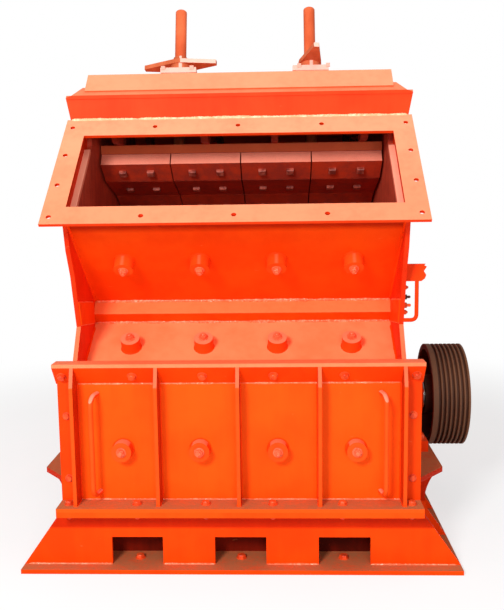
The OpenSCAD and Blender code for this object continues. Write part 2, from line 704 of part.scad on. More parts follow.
module side_liners() color(BROWN) placed() both_sides() profile(inner_half - liner_t, liner_t) {
    difference() {
        polygon([[discharge_front + 30, liner_low], [rear_y - lg, liner_low], [rear_y - lg, split_height - lg / 2],
                 meet(low_inner - [0, lg], low_slope, [0, split_height - lg / 2], [1, 0]),
                 meet(low_inner - [0, lg], low_slope, [discharge_front + 30, 0], [0, 1])]);
        shaft_hole();
    }
    difference() {
        polygon([[high_inner[0] + liner_edge, split_height + lg / 2], [half_joint - lg / 2, split_height + lg / 2],
                 [half_joint - lg / 2, roof_height - skirt_depth - lg],
                 meet([0, roof_height - skirt_depth - lg], [1, 0], roof_foot - [0, skirt_depth * 1.5], along(45)),
                 meet([bar_y + top_bar_t + lg, 0], [0, 1], roof_foot - [0, skirt_depth * 1.5], along(45)),
                 meet([bar_y + top_bar_t + lg, 0], [0, 1], liner_front, flange_u),
                 meet(wall_line, high_u, liner_front, flange_u), wall_line,
                 [high_inner[0] + 10, split_height + liner_edge]]);
        pivot_hole(pivot);
    }
    difference() {
        polygon([[half_joint + lg / 2, split_height + lg / 2], [rear_y - lg, split_height + lg / 2],
                 meet([rear_y - lg, 0], [0, 1], rear_edge_line[1] - [0, liner_edge], slope_dir),
                 rear_edge_line[1] - [0, liner_edge], rear_edge_line[0] - [-lg / 2, liner_edge]]);
        pivot_hole(rear_pivot);
    }
}

pivot_end = 12;                                  // how far the pivot shafts stand out of the side plates

module apron_pivots() color(STEEL) placed() {
    for (at = [pivot, rear_pivot]) across(outer_half + pivot_end) translate(at) circle(d = pivot_d, $fn = 64);
}

// ---- Aprons ----------------------------------------------------------------------------------------

// Impact faces, from the top edge down to the crushing gap
// The front apron runs from its pivot to the crushing gap; its places count from the pivot,
// and its heights are shares of the way down
apron_top = pivot + [42, -173];
apron_end = axis + (rotor_d / 2 + crush_gap) * along(55.2);
front_face = [for (p = [[0, 0], [0.162, 0.115], [0.546, 0.213], [0.885, 0.381], [1.047, 0.68], [1, 1]])
    [apron_top[0] + p[0] * (apron_end[0] - apron_top[0]), apron_top[1] + p[1] * (apron_end[1] - apron_top[1])]];
rear_top = rear_pivot + [-10, -240];
rear_end = [1512, 800];
rear_face_line = [for (p = [[0, 0], [70, 0.243], [110, 0.495], [80, 0.748]])
    [rear_top[0] + p[0], rear_top[1] + p[1] * (rear_end[1] - rear_top[1])], rear_end];
column_count = 4;
apron_rib_depth = 68;
ear_xs = [-600, -170, 170, 600];
ear_t = 34;
ear_r = 78;
lip_t = 18;                                      // upright lip along the front apron's top edge
lip_height = 42;

// Liner plates: one for each column and each stretch of the impact face
module liner_plates(line) {
    outer = beside(line, plate_t - bolted);
    column = apron_width / column_count;
    for (c = [0 : column_count - 1], i = [0 : len(line) - 2]) {
        u = unit(line[i + 1] - line[i]) * plate_gap / 2;
        profile(-apron_width / 2 + c * column + plate_gap / 2, column - plate_gap)
            polygon([line[i] + u, line[i + 1] - u, outer[i + 1] - u, outer[i] + u]);
    }
}

module apron_frame(line, hinge) {
    behind = plate_t + backing_t;
    back = beside(line, behind);
    across(apron_width / 2) strip(line, plate_t, behind);
    for (x = ear_xs) profile(x - ear_t / 2, ear_t) {
        strip(line, behind - 1, behind + apron_rib_depth);
        difference() {
            union() {
                translate(hinge) circle(r = ear_r, $fn = 64);
                polygon([hinge + ear_r * along(235), beside(line, plate_t)[0] + [0, lip_height - eps], back[0] - [0, 3],
                         (back[0] + back[1]) / 2, hinge + ear_r * along(50)]);
            }
            pivot_hole(hinge);
        }
    }
}

// Link pins of the adjusting rods, above the apron's back
lug_t = 36;
lug_r = 44;
lug_foot = 90;                                   // half length of a lug's foot
link_height = 89;                                // from the apron's back to the middle of the link pin
fork_gap = 5;                                    // clearance of the fork beside the lug
fork_t = 20;
pin_head = 7;
behind = plate_t + backing_t;
link_line = beside(front_face, behind + link_height);
back_dir = unit(link_line[3] - link_line[2]);
link_at = meet(pad_at, rod_dir, link_line[2], back_dir);
lug_base = link_at - (link_height + eps) * left_of(back_dir);

module front_apron_frame() color(BROWN) placed() {
    apron_frame(front_face, pivot);
    // Upright lip along the top edge
    across(apron_width / 2) translate(beside(front_face, plate_t)[0]) square([lip_t, lip_height]);
    // Lugs and pins that the adjusting rods hold
    for (x = [-rod_x, rod_x]) {
        profile(x - lug_t / 2, lug_t) {
            translate(link_at) circle(r = lug_r, $fn = 48);
            polygon([link_at + lug_r * back_dir, link_at - lug_r * back_dir,
                     lug_base - lug_foot * back_dir, lug_base + lug_foot * back_dir]);
        }
        profile(x - lug_t / 2 - fork_gap - fork_t - pin_head, lug_t + 2 * (fork_gap + fork_t + pin_head))
            translate(link_at) circle(d = link_pin_d, $fn = 48);
    }
}

module front_apron_plates() color(BROWN) placed() liner_plates(front_face);
module rear_apron_frame() color(BROWN) placed() apron_frame(rear_face_line, rear_pivot);
module rear_apron_plates() color(BROWN) placed() liner_plates(rear_face_line);

// ---- Adjusting rods ----------------------------------------------------------------------------------

eye_play = 2;                                    // clearance of the fork's eyes round the link pin
fork_half = 48;
link_depth = norm(pad_at - link_at);             // from the pad's upper face down the rod to the link pin
fork_head = 30;
fork_top = lug_r + 8 - link_depth;               // underside of the fork's head

module adjusting_rods() color(PAINT) on_rods() {
    cheek_in = lug_t / 2 + fork_gap;
    both_sides() difference() {
        block([cheek_in, -fork_half, -link_depth - fork_half], [cheek_in + fork_t, fork_half, fork_top + fork_head]);
        translate([0, 0, -link_depth]) rotate([0, 90, 0])
            cylinder(d = link_pin_d + 2 * eye_play, h = cheek_in + fork_t + eps, $fn = 48);
    }
    block([-cheek_in - eps, -fork_half, fork_top], [cheek_in + eps, fork_half, fork_top + fork_head]);
    // Round bar with a domed end
    dome = rod_d / 4;
    translate([0, 0, fork_top + fork_head - eps])
        cylinder(d = rod_d, h = rod_stand - dome - fork_top - fork_head + eps, $fn = 48);
    translate([0, 0, rod_stand - dome]) rotate_extrude($fn = 48) intersection() {
        scale([1, 0.5]) circle(d = rod_d, $fn = 48);
        square(rod_d);
    }
}

// Lock nut: a round foot, a diamond-shaped plate with two handles' length, and a collar
hub_height = 50;
lock_t = 24;
collar_height = 28;
lock_tip = 14;                                   // half width of the diamond's blunt ends
lock_turn = [-8, -82];                          // how far the left and the right plate are turned

module lock_plate() difference() {
    union() {
        cylinder(d = lock_width - 10, h = hub_height + eps, $fn = 64);
        translate([0, 0, hub_height]) linear_extrude(lock_t) polygon([
            [lock_length / 2, -lock_tip], [lock_length / 2, lock_tip], [lock_tip, lock_width / 2], [-lock_tip, lock_width / 2],
            [-lock_length / 2, lock_tip], [-lock_length / 2, -lock_tip], [-lock_tip, -lock_width / 2], [lock_tip, -lock_width / 2]]);
        translate([0, 0, hub_height + lock_t - eps]) cylinder(d = rod_d + 16, h = collar_height + eps, $fn = 64);
    }
    translate([0, 0, -eps])
        cylinder(d = rod_d + 2 * running_gap, h = hub_height + lock_t + collar_height + 2 * eps, $fn = 48);
}

module lock_plates() color(PAINT) for (i = [0, 1]) placed()
    translate([(2 * i - 1) * rod_x, pad_at[0], pad_at[1]]) rotate([-rod_lean, 0, 0])
        translate([0, 0, seat]) rotate(lock_turn[i]) lock_plate();

// ---- Bearings ------------------------------------------------------------------------------------------

shelf_z = shelf_height - shelf_t;
web_pitch = 340;
web_y = [for (i = [-1.5 : 1.5]) rotor_y + i * web_pitch];
waist_z = 150;                                   // height of the webs' waist

// One web under the shelf: it stands on the base plate, narrows to a waist and widens to the shelf
module web_outline() {
    waist = [base_width / 2 - flare * (waist_z - base_plate_t), waist_z];
    polygon(concat([[outer_half, base_plate_t], [base_width / 2, base_plate_t]],
                   bend(waist, waist + [-45, 85], [shelf_reach - base_wall_t, shelf_z], 8),
                   [[outer_half, shelf_z], [outer_half, base_height], [base_flange_width / 2, base_height],
                    [base_flange_width / 2, base_flange_z], [outer_half, base_flange_z]]));
}

module bearing_shelves() color(PAINT) placed() both_sides() translate([0, 0, shelf_z]) linear_extrude(shelf_t)
    for (side = [0, 1]) translate([0, rotor_y, 0]) mirror([0, side, 0])
        polygon([[outer_half, -eps], [outer_half, shelf_half], [shelf_shoulder, shelf_half - shelf_end],
                 [shelf_reach, shelf_half_length], [shelf_reach, -eps]]);

module shelf_webs() color(PAINT) placed() both_sides() for (y = web_y) upright(y, base_wall_t) web_outline();

bearing_x = 858;                                 // middle of the bearing
body_half = 70;                                  // half width of the bearing's body along the shaft
boss_half = 84;                                  // the same over the bosses round its bore
boss_inset = 45;                                 // how much smaller than the body the bosses are, all round
body_flare = 30;                                 // how much wider the body is at its foot, each way

module bearing_body() difference() {
    union() {
        block([bearing_x - foot_width / 2, rotor_y - foot_length / 2, shelf_height],
              [bearing_x + foot_width / 2, rotor_y + foot_length / 2, shelf_height + foot_t]);
        profile(bearing_x - body_half, 2 * body_half) {
            translate(axis) circle(d = housing_d, $fn = 96);
            polygon([[rotor_y - housing_d / 2, rotor_z], [rotor_y + housing_d / 2, rotor_z],
                     [rotor_y + housing_d / 2 + body_flare, shelf_height + eps],
                     [rotor_y - housing_d / 2 - body_flare, shelf_height + eps]]);
        }
        profile(bearing_x - boss_half, 2 * boss_half) translate(axis) circle(d = housing_d - 2 * boss_inset, $fn = 96);
    }
    profile(bearing_x - boss_half - eps, 2 * (boss_half + eps)) translate(axis) circle(d = journal_d + 2 * running_gap, $fn = 96);
}

module bearing_housings() color(PAINT) placed() both_sides() bearing_body();

module shaft_seals() color(PAINT) placed() both_sides() profile(outer_half, 18) translate(axis) difference() {
    circle(d = 380, $fn = 96);
    circle(d = shaft_hole_d, $fn = 72);
}

// ---- Rotor ------------------------------------------------------------------------------------------------

module on_axis() placed() translate([0, rotor_y, rotor_z]) children();
// Solid of revolution about the rotor axis, from [place along X, radius] points
module turned(pts) rotate([0, 90, 0]) rotate_extrude($fn = 96) polygon([for (p = pts) [p[1], p[0]]]);

pulley_x = shelf_reach + pulley_gap;             // inner face of the pulley
shaft_left = -(bearing_x + 100);
shaft_shoulder = pulley_x - 12;                  // the pulley's hub sits against it
shaft_right = pulley_x + pulley_width - 25;
shaft_step = rotor_length / 2 + 8;

module rotor_shaft() color(STEEL) on_axis() turned([[shaft_left, 0], [shaft_left, journal_d / 2],
    [-shaft_step, journal_d / 2], [-shaft_step, shaft_d / 2], [shaft_step, shaft_d / 2],
    [shaft_step, journal_d / 2], [shaft_shoulder, journal_d / 2], [shaft_shoulder, drive_d / 2],
    [shaft_right, drive_d / 2], [shaft_right, 0]]);

bar_low_r = rotor_d / 2 - bar_height;            // radius of a blow bar's seat
wedge_t = 58;
wedge_inset = 30;
wedge_height = 106;
wedge_high_r = disc_d / 2 - 18;
wedge_low_r = wedge_high_r - wedge_height;
hub_wall = 55;
hub_d = shaft_d + 2 * hub_wall;

// Pocket of one blow bar and its wedge, cut from a disc; the bar stands at +Y
module pocket() {
    translate([-bar_t / 2, bar_low_r]) square([bar_t, bar_height]);
    wedge_outline();
    translate([-bar_t / 2 - wedge_t, wedge_high_r - 1]) square([wedge_t + 1, 60]);
}

module wedge_outline() polygon([[-bar_t / 2, wedge_low_r], [-bar_t / 2, wedge_high_r],
    [-bar_t / 2 - wedge_t + 14, wedge_high_r], [-bar_t / 2 - wedge_t, wedge_low_r]]);

// Outline of a blow bar: its worn-in striking face is straight and its back has a locking groove
module bar_outline() polygon([[-bar_t / 2, bar_low_r], [bar_t / 2, bar_low_r], [bar_t / 2, rotor_d / 2 - 14],
    [bar_t / 2 - 14, rotor_d / 2 - 4], [-bar_t / 2, rotor_d / 2 - 16]]);

module quarters() for (a = [0 : 90 : 270]) rotate(a) children();

disc_inset = 10;                                 // from the blow bars' ends to the outer discs
disc_pitch = (rotor_length - 2 * disc_inset - disc_t) / (disc_count - 1);

// Separate discs, each with four pockets, on one hub
module rotor_body() color(BROWN) on_axis() for (i = [0 : disc_count - 1])
    profile(disc_inset - rotor_length / 2 + i * disc_pitch, disc_t) difference() {
        circle(d = disc_d, $fn = 96);
        circle(d = hub_d, $fn = 96);
        quarters() pocket();
    }

module rotor_hub() color(BROWN) on_axis() profile(disc_inset - rotor_length / 2, rotor_length - 2 * disc_inset)
    difference() {
        circle(d = hub_d, $fn = 96);
        circle(d = shaft_d + 2 * running_gap, $fn = 96);
    }

module blow_bars() color(BROWN) on_axis() rotate([90, 0, 90]) translate([0, 0, -rotor_length / 2])
    linear_extrude(rotor_length) quarters() bar_outline();

module bar_wedges() color(STEEL) on_axis() rotate([90, 0, 90]) translate([0, 0, wedge_inset - rotor_length / 2])
    linear_extrude(rotor_length - 2 * wedge_inset) quarters() wedge_outline();

// Belt pulley: grooved rim, thin web and hub
groove_pitch = (pulley_width - pulley_edge) / (groove_count + 0.5);
rim_in = pulley_d / 2 - groove_depth - pulley_rim_t;
pulley_hub_r = 105;
web_from = 75;                                   // the pulley's web, from its inner face
web_to = 112;

module belt_pulley() color(DARK) on_axis() turned(concat(
    [[pulley_x, rim_in], [pulley_x, pulley_d / 2]],
    [for (i = [0 : groove_count - 1], c = [[0.17, 0], [0.36, 1], [0.64, 1], [0.83, 0]])
        [pulley_x + pulley_edge + groove_pitch * (0.25 + i + c[0]), pulley_d / 2 - c[1] * groove_depth]],
    [[pulley_x + pulley_width, pulley_d / 2], [pulley_x + pulley_width, rim_in],
     [pulley_x + web_to, rim_in - 12], [pulley_x + web_to, pulley_hub_r], [shaft_right - 5, pulley_hub_r - 10],
     [shaft_right - 5, drive_d / 2 + running_gap], [shaft_shoulder, drive_d / 2 + running_gap],
     [shaft_shoulder, pulley_hub_r], [pulley_x + web_from, pulley_hub_r], [pulley_x + web_from, rim_in - 12]]));

// ---- Hardware on the right cheek ---------------------------------------------------------------------------

bracket_y = 196;
bracket_t = 14;
bracket_z = split_height + 167;
grip_x = 839;                                    // middle of the side handle's grip
grip_y = 232;
grip_z = split_height + 95;
grip_half = 74;

// Notched plate: its outer edge as [place across, height above its lower edge]
module side_bracket() color(PAINT) placed() upright(bracket_y, bracket_t) translate([0, bracket_z])
    polygon([[outer_half, 0], [828, 0], [846, 18], [836, 38], [836, 63], [850, 84], [838, 96], [outer_half, 92]]);

module side_handle() color(PAINT) placed() translate([grip_x, grip_y, grip_z]) mirror([1, 0, 0])
    handle(grip_x - outer_half, grip_half, 32, handle_d);

base_plate();
base_end_plates();
base_side_walls();
base_cross_walls();
base_gussets();
base_flange();
lower_side_plates();
lower_front_wall();
lower_rear_wall();
cover_frame();
cover_plate();
cover_ribs();
cover_flanges();
cover_bars();
cover_handles();
liner_bolt_bosses();
bearing_shelves();
shelf_webs();
bearing_housings();
shaft_seals();
upper_side_plates();
upper_front_wall();
angle_bar();
feed_flange();
top_bar();
chute_bars();
front_roof();
roof_skirts();
rod_pads();
lower_flange();
front_half_flange();
rear_half_flange();
rear_side_plates();
rear_roof();
rear_wall();
side_liners();
apron_pivots();
rear_apron_frame();
rear_apron_plates();
rear_apron_rods();
side_bracket();
side_handle();
rotor_shaft();
rotor_hub();
rotor_body();
blow_bars();
bar_wedges();
belt_pulley();
front_apron_frame();
front_apron_plates();
adjusting_rods();
lock_plates();
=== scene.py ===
import math

import bpy
import numpy as np
from mathutils import Matrix, Vector


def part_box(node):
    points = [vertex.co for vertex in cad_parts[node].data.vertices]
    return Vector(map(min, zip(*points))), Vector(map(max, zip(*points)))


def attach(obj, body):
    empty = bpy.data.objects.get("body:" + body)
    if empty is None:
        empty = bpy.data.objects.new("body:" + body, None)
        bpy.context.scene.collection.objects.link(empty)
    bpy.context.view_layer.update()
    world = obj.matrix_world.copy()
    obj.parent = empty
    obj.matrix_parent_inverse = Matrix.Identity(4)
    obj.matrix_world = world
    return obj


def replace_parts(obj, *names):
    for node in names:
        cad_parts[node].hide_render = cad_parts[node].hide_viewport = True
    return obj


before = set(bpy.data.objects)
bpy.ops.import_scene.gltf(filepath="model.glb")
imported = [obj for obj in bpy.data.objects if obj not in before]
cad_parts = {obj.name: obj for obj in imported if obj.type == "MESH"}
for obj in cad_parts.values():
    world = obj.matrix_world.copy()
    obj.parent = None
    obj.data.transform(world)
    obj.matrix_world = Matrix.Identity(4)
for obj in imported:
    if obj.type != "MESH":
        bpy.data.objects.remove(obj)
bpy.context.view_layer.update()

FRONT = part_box("base_plate")[0][1]      # front edge of the base plate


# ---- Shader maths -----------------------------------------------------------------------------

class Wire:
    """One output socket of a node, on which sums are written with the ordinary operators.
    Numbers go through Math nodes, vectors through Vector Math nodes."""

    def __init__(self, finish, socket):
        self.finish, self.socket = finish, socket

    def sum_with(self, how, first, second):
        vector = any(isinstance(v, Wire) and v.socket.type == "VECTOR" for v in (first, second))
        if vector and not isinstance(second, Wire) and how in ("MULTIPLY", "ADD", "SUBTRACT"):
            second = second if isinstance(second, (tuple, list)) else (second,) * 3
        kind = "ShaderNodeVectorMath" if vector else "ShaderNodeMath"
        return self.finish.add(kind, {"operation": how}, {0: first, 1: second})

    def __add__(self, other): return self.sum_with("ADD", self, other)
    def __radd__(self, other): return self.sum_with("ADD", self, other)
    def __sub__(self, other): return self.sum_with("SUBTRACT", self, other)
    def __rsub__(self, other): return self.sum_with("SUBTRACT", other, self)
    def __mul__(self, other): return self.sum_with("MULTIPLY", self, other)

    def dot(self, direction):
        return self.finish.add("ShaderNodeVectorMath", {"operation": "DOT_PRODUCT"},
            {0: self, 1: direction}, out="Value")

    def step(self, start, end):
        """0 up to start, 1 past end and a smooth rise between; start may be the larger one."""
        low, high, flip = (start, end, False) if start < end else (end, start, True)
        return self.finish.add("ShaderNodeMapRange", {"interpolation_type": "SMOOTHSTEP"},
            {"Value": self, "From Min": low, "From Max": high, "To Min": float(flip),
             "To Max": float(not flip)})


class Finish:
    """One procedural material. add() makes any node; the rest are short words for the few that recur."""

    def __init__(self, name, world=False):
        self.material = (bpy.data.worlds if world else bpy.data.materials).new(name)
        self.material.use_nodes = True
        self.tree = self.material.node_tree
        self.tree.nodes.clear()
        self.end = "ShaderNodeOutputWorld" if world else "ShaderNodeOutputMaterial"
        self.place = self.add("ShaderNodeTexCoord", out="Object")
        self.facing = self.add("ShaderNodeTexCoord", out="Normal")
        self.up = self.facing.dot((0, 0, 1))

    def add(self, kind, settings=None, sockets=None, out=0):
        """A node of one kind: its settings, then a value or a wire for each socket; gives one output."""
        node = self.tree.nodes.new(kind)
        for key, value in (settings or {}).items():
            setattr(node, key, value)
        for key, value in (sockets or {}).items():
            socket = node.inputs[key]
            if isinstance(value, Wire):
                self.tree.links.new(value.socket, socket)
            elif socket.type == "RGBA" and len(value) == 3:
                socket.default_value = (*value, 1)
            else:
                socket.default_value = value
        return Wire(self, node.outputs[out])

    def noise(self, size, detail=2.0, rough=0.5, stretch=None, shift=0.0):
        """Noise whose blots are about size metres across; stretch makes them longer along an axis."""
        place = self.place * stretch if stretch else self.place
        if shift:
            place = place + (shift, shift * 1.7, shift * 0.6)
        return self.add("ShaderNodeTexNoise", {},
            {"Vector": place, "Scale": 1.0 / size, "Detail": detail, "Roughness": rough})

    def mix(self, share, below, above):
        """Colour mix: below where share is 0, above where it is 1."""
        return self.add("ShaderNodeMix", {"data_type": "RGBA", "blend_type": "MIX"},
            {0: share, 6: below, 7: above}, out=2)

    def bump(self, height, depth, strength):
        """Turns a height between 0 and 1 into relief that is depth metres deep."""
        return self.add("ShaderNodeBump", {}, {"Height": height, "Distance": depth, "Strength": strength})

    def done(self, colour, rough, metal=0.0, normal=None, constants=None):
        """Ends the material in one Principled shader and gives the material."""
        sockets = {"Base Color": colour, "Roughness": rough, "Metallic": metal}
        if normal is not None:
            sockets["Normal"] = normal
        sockets.update(constants or {})
        return self.show(self.add("ShaderNodeBsdfPrincipled", {}, sockets))

    def show(self, shader):
        """Puts a shader on the material's or the world's surface."""
        output = self.tree.nodes.new(self.end)
        self.tree.links.new(shader.socket, output.inputs["Surface"])
        return self.material


def tone(red, green, blue):
    """A display colour, 0 to 255, as linear light."""
    share = np.array([red, green, blue]) / 255.0
    return tuple(np.where(share <= 0.04045, share / 12.92, ((share + 0.055) / 1.055) ** 2.4).tolist())


# ---- Finishes ---------------------------------------------------------------------------------

DUST = tone(188, 114, 74)


def gloss_paint(name, colour, shade, painted_light=None, painted_light_way=(0, 0, 1), painted_light_from=0.9, painted_light_high=None,
                heights=(1.60, 2.06), painted_shade=None, dust=0.0, dust_top=5.0, rough=0.42):
    """Sprayed gloss paint over plate: slow blotches between colour and shade, faint runs down the plate,
    small pores and paler scuffs; painted light on faces that look along a given way: a second tone, a painted
    highlight where it is lighter and painted shade where it is darker, which turns to a third tone between
    two heights; a band of painted shade, given as (colour, from, full), that darkens between two heights; and
    dust that has settled on level faces."""
    f = Finish(name)
    blotch = f.noise(0.35, 3.0, 0.6)
    fine = f.noise(0.012, 3.0, 0.65)
    runs = f.noise(0.05, 3.0, 0.55, stretch=(1.0, 1.0, 0.12))
    body = f.mix((blotch * 0.75 + runs * 0.25).step(0.38, 0.66), colour, shade)
    body = f.mix(fine.step(0.60, 0.78) * 0.16, body, tone(190, 52, 16))
    scuff = f.noise(0.03, 4.0, 0.7, stretch=(0.35, 1.0, 1.0), shift=7.0).step(0.68, 0.74)
    body = f.mix(scuff * 0.25, body, tone(255, 150, 96))
    # Painted shade: a darker band between two heights, for the shade under a ledge above
    if painted_shade:
        shade_colour, start, full = painted_shade
        body = f.mix(f.place.dot((0, 0, 1)).step(start, full) * (0.75 + runs * 0.25), body, shade_colour)
    # Painted light: faces that look along one way take another tone, a painted highlight where it is lighter
    # and painted shade where it is darker
    if painted_light:
        if painted_light_high:
            painted_light = f.mix(f.place.dot((0, 0, 1)).step(*heights), painted_light, painted_light_high)
        lit = f.facing.dot(painted_light_way).step(painted_light_from, min(1.0, painted_light_from + 0.06))
        spread = (f.noise(0.22, 3.0, 0.6, shift=3.0) * 0.6 + f.noise(0.03, 3.0, 0.6) * 0.4).step(0.30, 0.62)
        body = f.mix(lit * (0.80 + spread * 0.20), body, painted_light)
    grain = f.noise(0.0045, 2.0, 0.6)
    gloss = rough + blotch * 0.10 + fine * 0.08
    if dust:
        level = f.up.step(0.80, 0.97)
        low = f.place.dot((0, 0, 1)).step(dust_top + 0.05, dust_top)
        drift = (f.noise(0.09, 4.0, 0.65) * 0.55 + f.noise(0.018, 3.0, 0.7) * 0.45).step(0.28, 0.60)
        film = level * low * (0.55 + drift * 0.45) * dust
        body = f.mix(film, body, DUST)
        gloss = gloss + film * 0.35
    relief = f.bump(grain * 0.5 + blotch * 0.5, 0.0009, 0.35)
    return f.done(body, gloss, normal=relief, constants={"Specular IOR Level": 0.07})


def cast_steel(name, colour, shade, steel_highlight=None, steel_highlight_way=(0, -1, 0), steel_highlight_from=0.9):
    """Cast wear steel under a rusty primer: coarse pitting, slow blotches and drips of rust,
    with a painted highlight, broken up by noise, on faces that look along a given way."""
    f = Finish(name)
    blotch = f.noise(0.16, 4.0, 0.62)
    pits = f.noise(0.008, 4.0, 0.7)
    runs = f.noise(0.035, 3.0, 0.6, stretch=(1.0, 1.0, 0.2))
    body = f.mix((blotch * 0.6 + runs * 0.4).step(0.36, 0.66), colour, shade)
    # Painted highlight on faces that look along one way, broken up by noise
    if steel_highlight:
        lit = f.facing.dot(steel_highlight_way).step(steel_highlight_from, min(1.0, steel_highlight_from + 0.05))
        highlight_breakup = (blotch * 0.5 + pits * 0.5).step(0.30, 0.62)
        body = f.mix(lit * (0.72 + highlight_breakup * 0.28), body, steel_highlight)
    body = f.mix(pits.step(0.58, 0.76) * 0.45, body, tone(60, 26, 18))
    relief = f.bump(pits * 0.7 + blotch * 0.3, 0.0022, 0.6)
    return f.done(body, 0.55 + pits * 0.25, normal=relief, constants={"Specular IOR Level": 0.30})


def bare_steel(name, colour, rust, turned_along=(1, 0, 0), rust_share=0.45):
    """Machined steel with fine turning marks along one axis and a thin, blotchy film of rust."""
    f = Finish(name)
    lengthwise = tuple(8.0 if a else 0.3 for a in turned_along)
    marks = f.add("ShaderNodeTexNoise", {},
        {"Vector": f.place * lengthwise, "Scale": 60.0, "Detail": 2.0, "Roughness": 0.5})
    film = f.noise(0.07, 4.0, 0.65) * 0.6 + f.noise(0.010, 4.0, 0.7) * 0.4
    film = film.step(0.62 - rust_share * 0.4, 0.72 - rust_share * 0.2)
    body = f.mix(film, f.mix(marks, colour, tuple(0.7 * c for c in colour)), rust)
    relief = f.bump(marks * 0.4 + film * 0.6, 0.0005, 0.5)
    return f.done(body, 0.30 + film * 0.42, 0.9 - film * 0.85, relief)


def sheave_iron():
    """Dark cast iron of the grooved pulley: dark brown grooves and paler ridges that show wear."""
    f = Finish("sheave_iron")
    axis_z = (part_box("belt_pulley")[0][2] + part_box("belt_pulley")[1][2]) / 2
    axis_y = (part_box("belt_pulley")[0][1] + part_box("belt_pulley")[1][1]) / 2
    spoke = (f.place - (0.0, axis_y, axis_z)) * (0.0, 1.0, 1.0)
    radius = f.add("ShaderNodeVectorMath", {"operation": "LENGTH"}, {0: spoke}, out="Value")
    full = (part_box("belt_pulley")[1][2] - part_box("belt_pulley")[0][2]) / 2
    ridge = radius.step(full - 0.015, full - 0.001)
    blotch = f.noise(0.05, 4.0, 0.65)
    fine = f.noise(0.006, 3.0, 0.6)
    body = f.mix(blotch, tone(66, 30, 14), tone(92, 50, 26))
    body = f.mix(ridge * (0.50 + blotch * 0.40), body, tone(126, 84, 54))
    body = f.mix(fine.step(0.55, 0.75) * 0.3, body, tone(90, 52, 34))
    return f.done(body, 0.50 + blotch * 0.3, 0.25, f.bump(fine * 0.6 + blotch * 0.4, 0.0009, 0.5))


def weld_metal(name, colour, crest_highlight):
    """Painted weld bead: the crests of its ripples carry a painted highlight, and small spatter carries a
    painted glint.
    """
    f = Finish(name)
    ripple = f.noise(0.014, 3.0, 0.6)
    spatter = f.noise(0.006, 2.0, 0.5).step(0.60, 0.70)
    patches = f.noise(0.09, 3.0, 0.6, shift=5.0).step(0.40, 0.60)
    # Painted highlight on the ripples' crests, in patches
    body = f.mix(ripple.step(0.35, 0.65) * (0.25 + patches * 0.75), colour, crest_highlight)
    # Spatter with a near-white painted glint
    body = f.mix(spatter * 0.8, body, tone(255, 225, 196))
    return f.done(body, 0.36 + ripple * 0.2, normal=f.bump(ripple, 0.0012, 0.6),
        constants={"Specular IOR Level": 0.35})


def fastener_paint(name, colour, shade, chips):
    """Bolt under paint: shade in the hollows, chips of bare rusty steel on its flats and corners."""
    f = Finish(name)
    blotch = f.noise(0.03, 3.0, 0.6)
    chip = (f.noise(0.007, 4.0, 0.7) * 0.6 + blotch * 0.4).step(0.56, 0.66)
    body = f.mix(blotch.step(0.35, 0.65), colour, shade)
    body = f.mix(chip * 0.7, body, chips)
    return f.done(body, 0.36 + chip * 0.3, normal=f.bump(chip * -1.0, 0.0004, 0.6),
        constants={"Specular IOR Level": 0.35})


RED = tone(255, 68, 6)
RED_SHADE = tone(244, 56, 3)
# Colour of the painted shade under the feed flange
UNDER_LEDGE_SHADE = tone(176, 28, 0)
FLANGE_SLOPE = math.radians(41.2)       # lean of the feed flange from level
ROD_LEAN = math.radians(18)             # lean of the rods and their pads from upright
FLANGE_WAY = (0, -math.sin(FLANGE_SLOPE), math.cos(FLANGE_SLOPE))
SLOPE_WAY = (0, -math.sqrt(0.5), math.sqrt(0.5))
LEANING_WAY = (0, math.sin(ROD_LEAN), math.cos(ROD_LEAN))

housing_paint = gloss_paint("housing_paint", RED, RED_SHADE, dust=0.35, dust_top=3.0)
# Cheeks: a darker red, and a painted highlight on faces that look forward and up
cheek_paint = gloss_paint("cheek_paint", tone(240, 56, 14), tone(226, 46, 8), painted_light=tone(255, 124, 82),
    painted_light_way=(0, -0.84, 0.54), painted_light_from=0.97)
# Base: a band of painted shade on the end plates just under the base flange's overhang, and dust on level
# faces
base_paint = gloss_paint("base_paint", tone(255, 76, 6), tone(252, 66, 3),
    painted_shade=(tone(198, 34, 0), 0.186, 0.202), dust=0.95, dust_top=0.9)
base_flange_paint = gloss_paint("base_flange_paint", tone(255, 84, 12), tone(252, 74, 8), dust=0.9,
    dust_top=0.9)
# Cross walls inside the base: a near-black red as painted shade for the closed inside, with dust
inside_shade_paint = gloss_paint("inside_shade_paint", tone(120, 20, 4), tone(70, 10, 2), dust=0.5)
cover_paint = gloss_paint("cover_paint", tone(255, 90, 12), tone(255, 80, 8))
# Cover ribs: a darker red on their sides as painted shade, and a painted highlight on their front faces that
# is lighter still at their tops
cover_rib_paint = gloss_paint("cover_rib_paint", tone(214, 58, 10), tone(196, 48, 6),
    painted_light=tone(255, 84, 22), painted_light_way=(0, -1, 0), painted_light_high=tone(255, 118, 78), heights=(0.862, 0.870))
# Cover handles: a painted highlight on faces that look up, at their bends
handle_paint = gloss_paint("handle_paint", tone(255, 88, 26), tone(250, 78, 18), painted_light=tone(255, 152, 122),
    painted_light_from=0.35)
# Liner bolt bosses: a painted highlight on faces that look up
boss_paint = gloss_paint("boss_paint", tone(255, 84, 22), tone(250, 72, 14), painted_light=tone(255, 136, 98),
    painted_light_from=0.62)
cover_bar_paint = gloss_paint("cover_bar_paint", tone(255, 72, 6), tone(250, 62, 4))
# Cover flanges: a painted highlight on faces that slope up and forward, lighter near the top; dust on level
# faces
cover_flange_paint = gloss_paint("cover_flange_paint", tone(255, 84, 14), tone(250, 74, 10),
    painted_light=tone(255, 88, 18), painted_light_way=SLOPE_WAY, painted_light_from=0.60, painted_light_high=tone(255, 138, 92),
    heights=(0.90, 0.94), dust=0.9, dust_top=0.6)
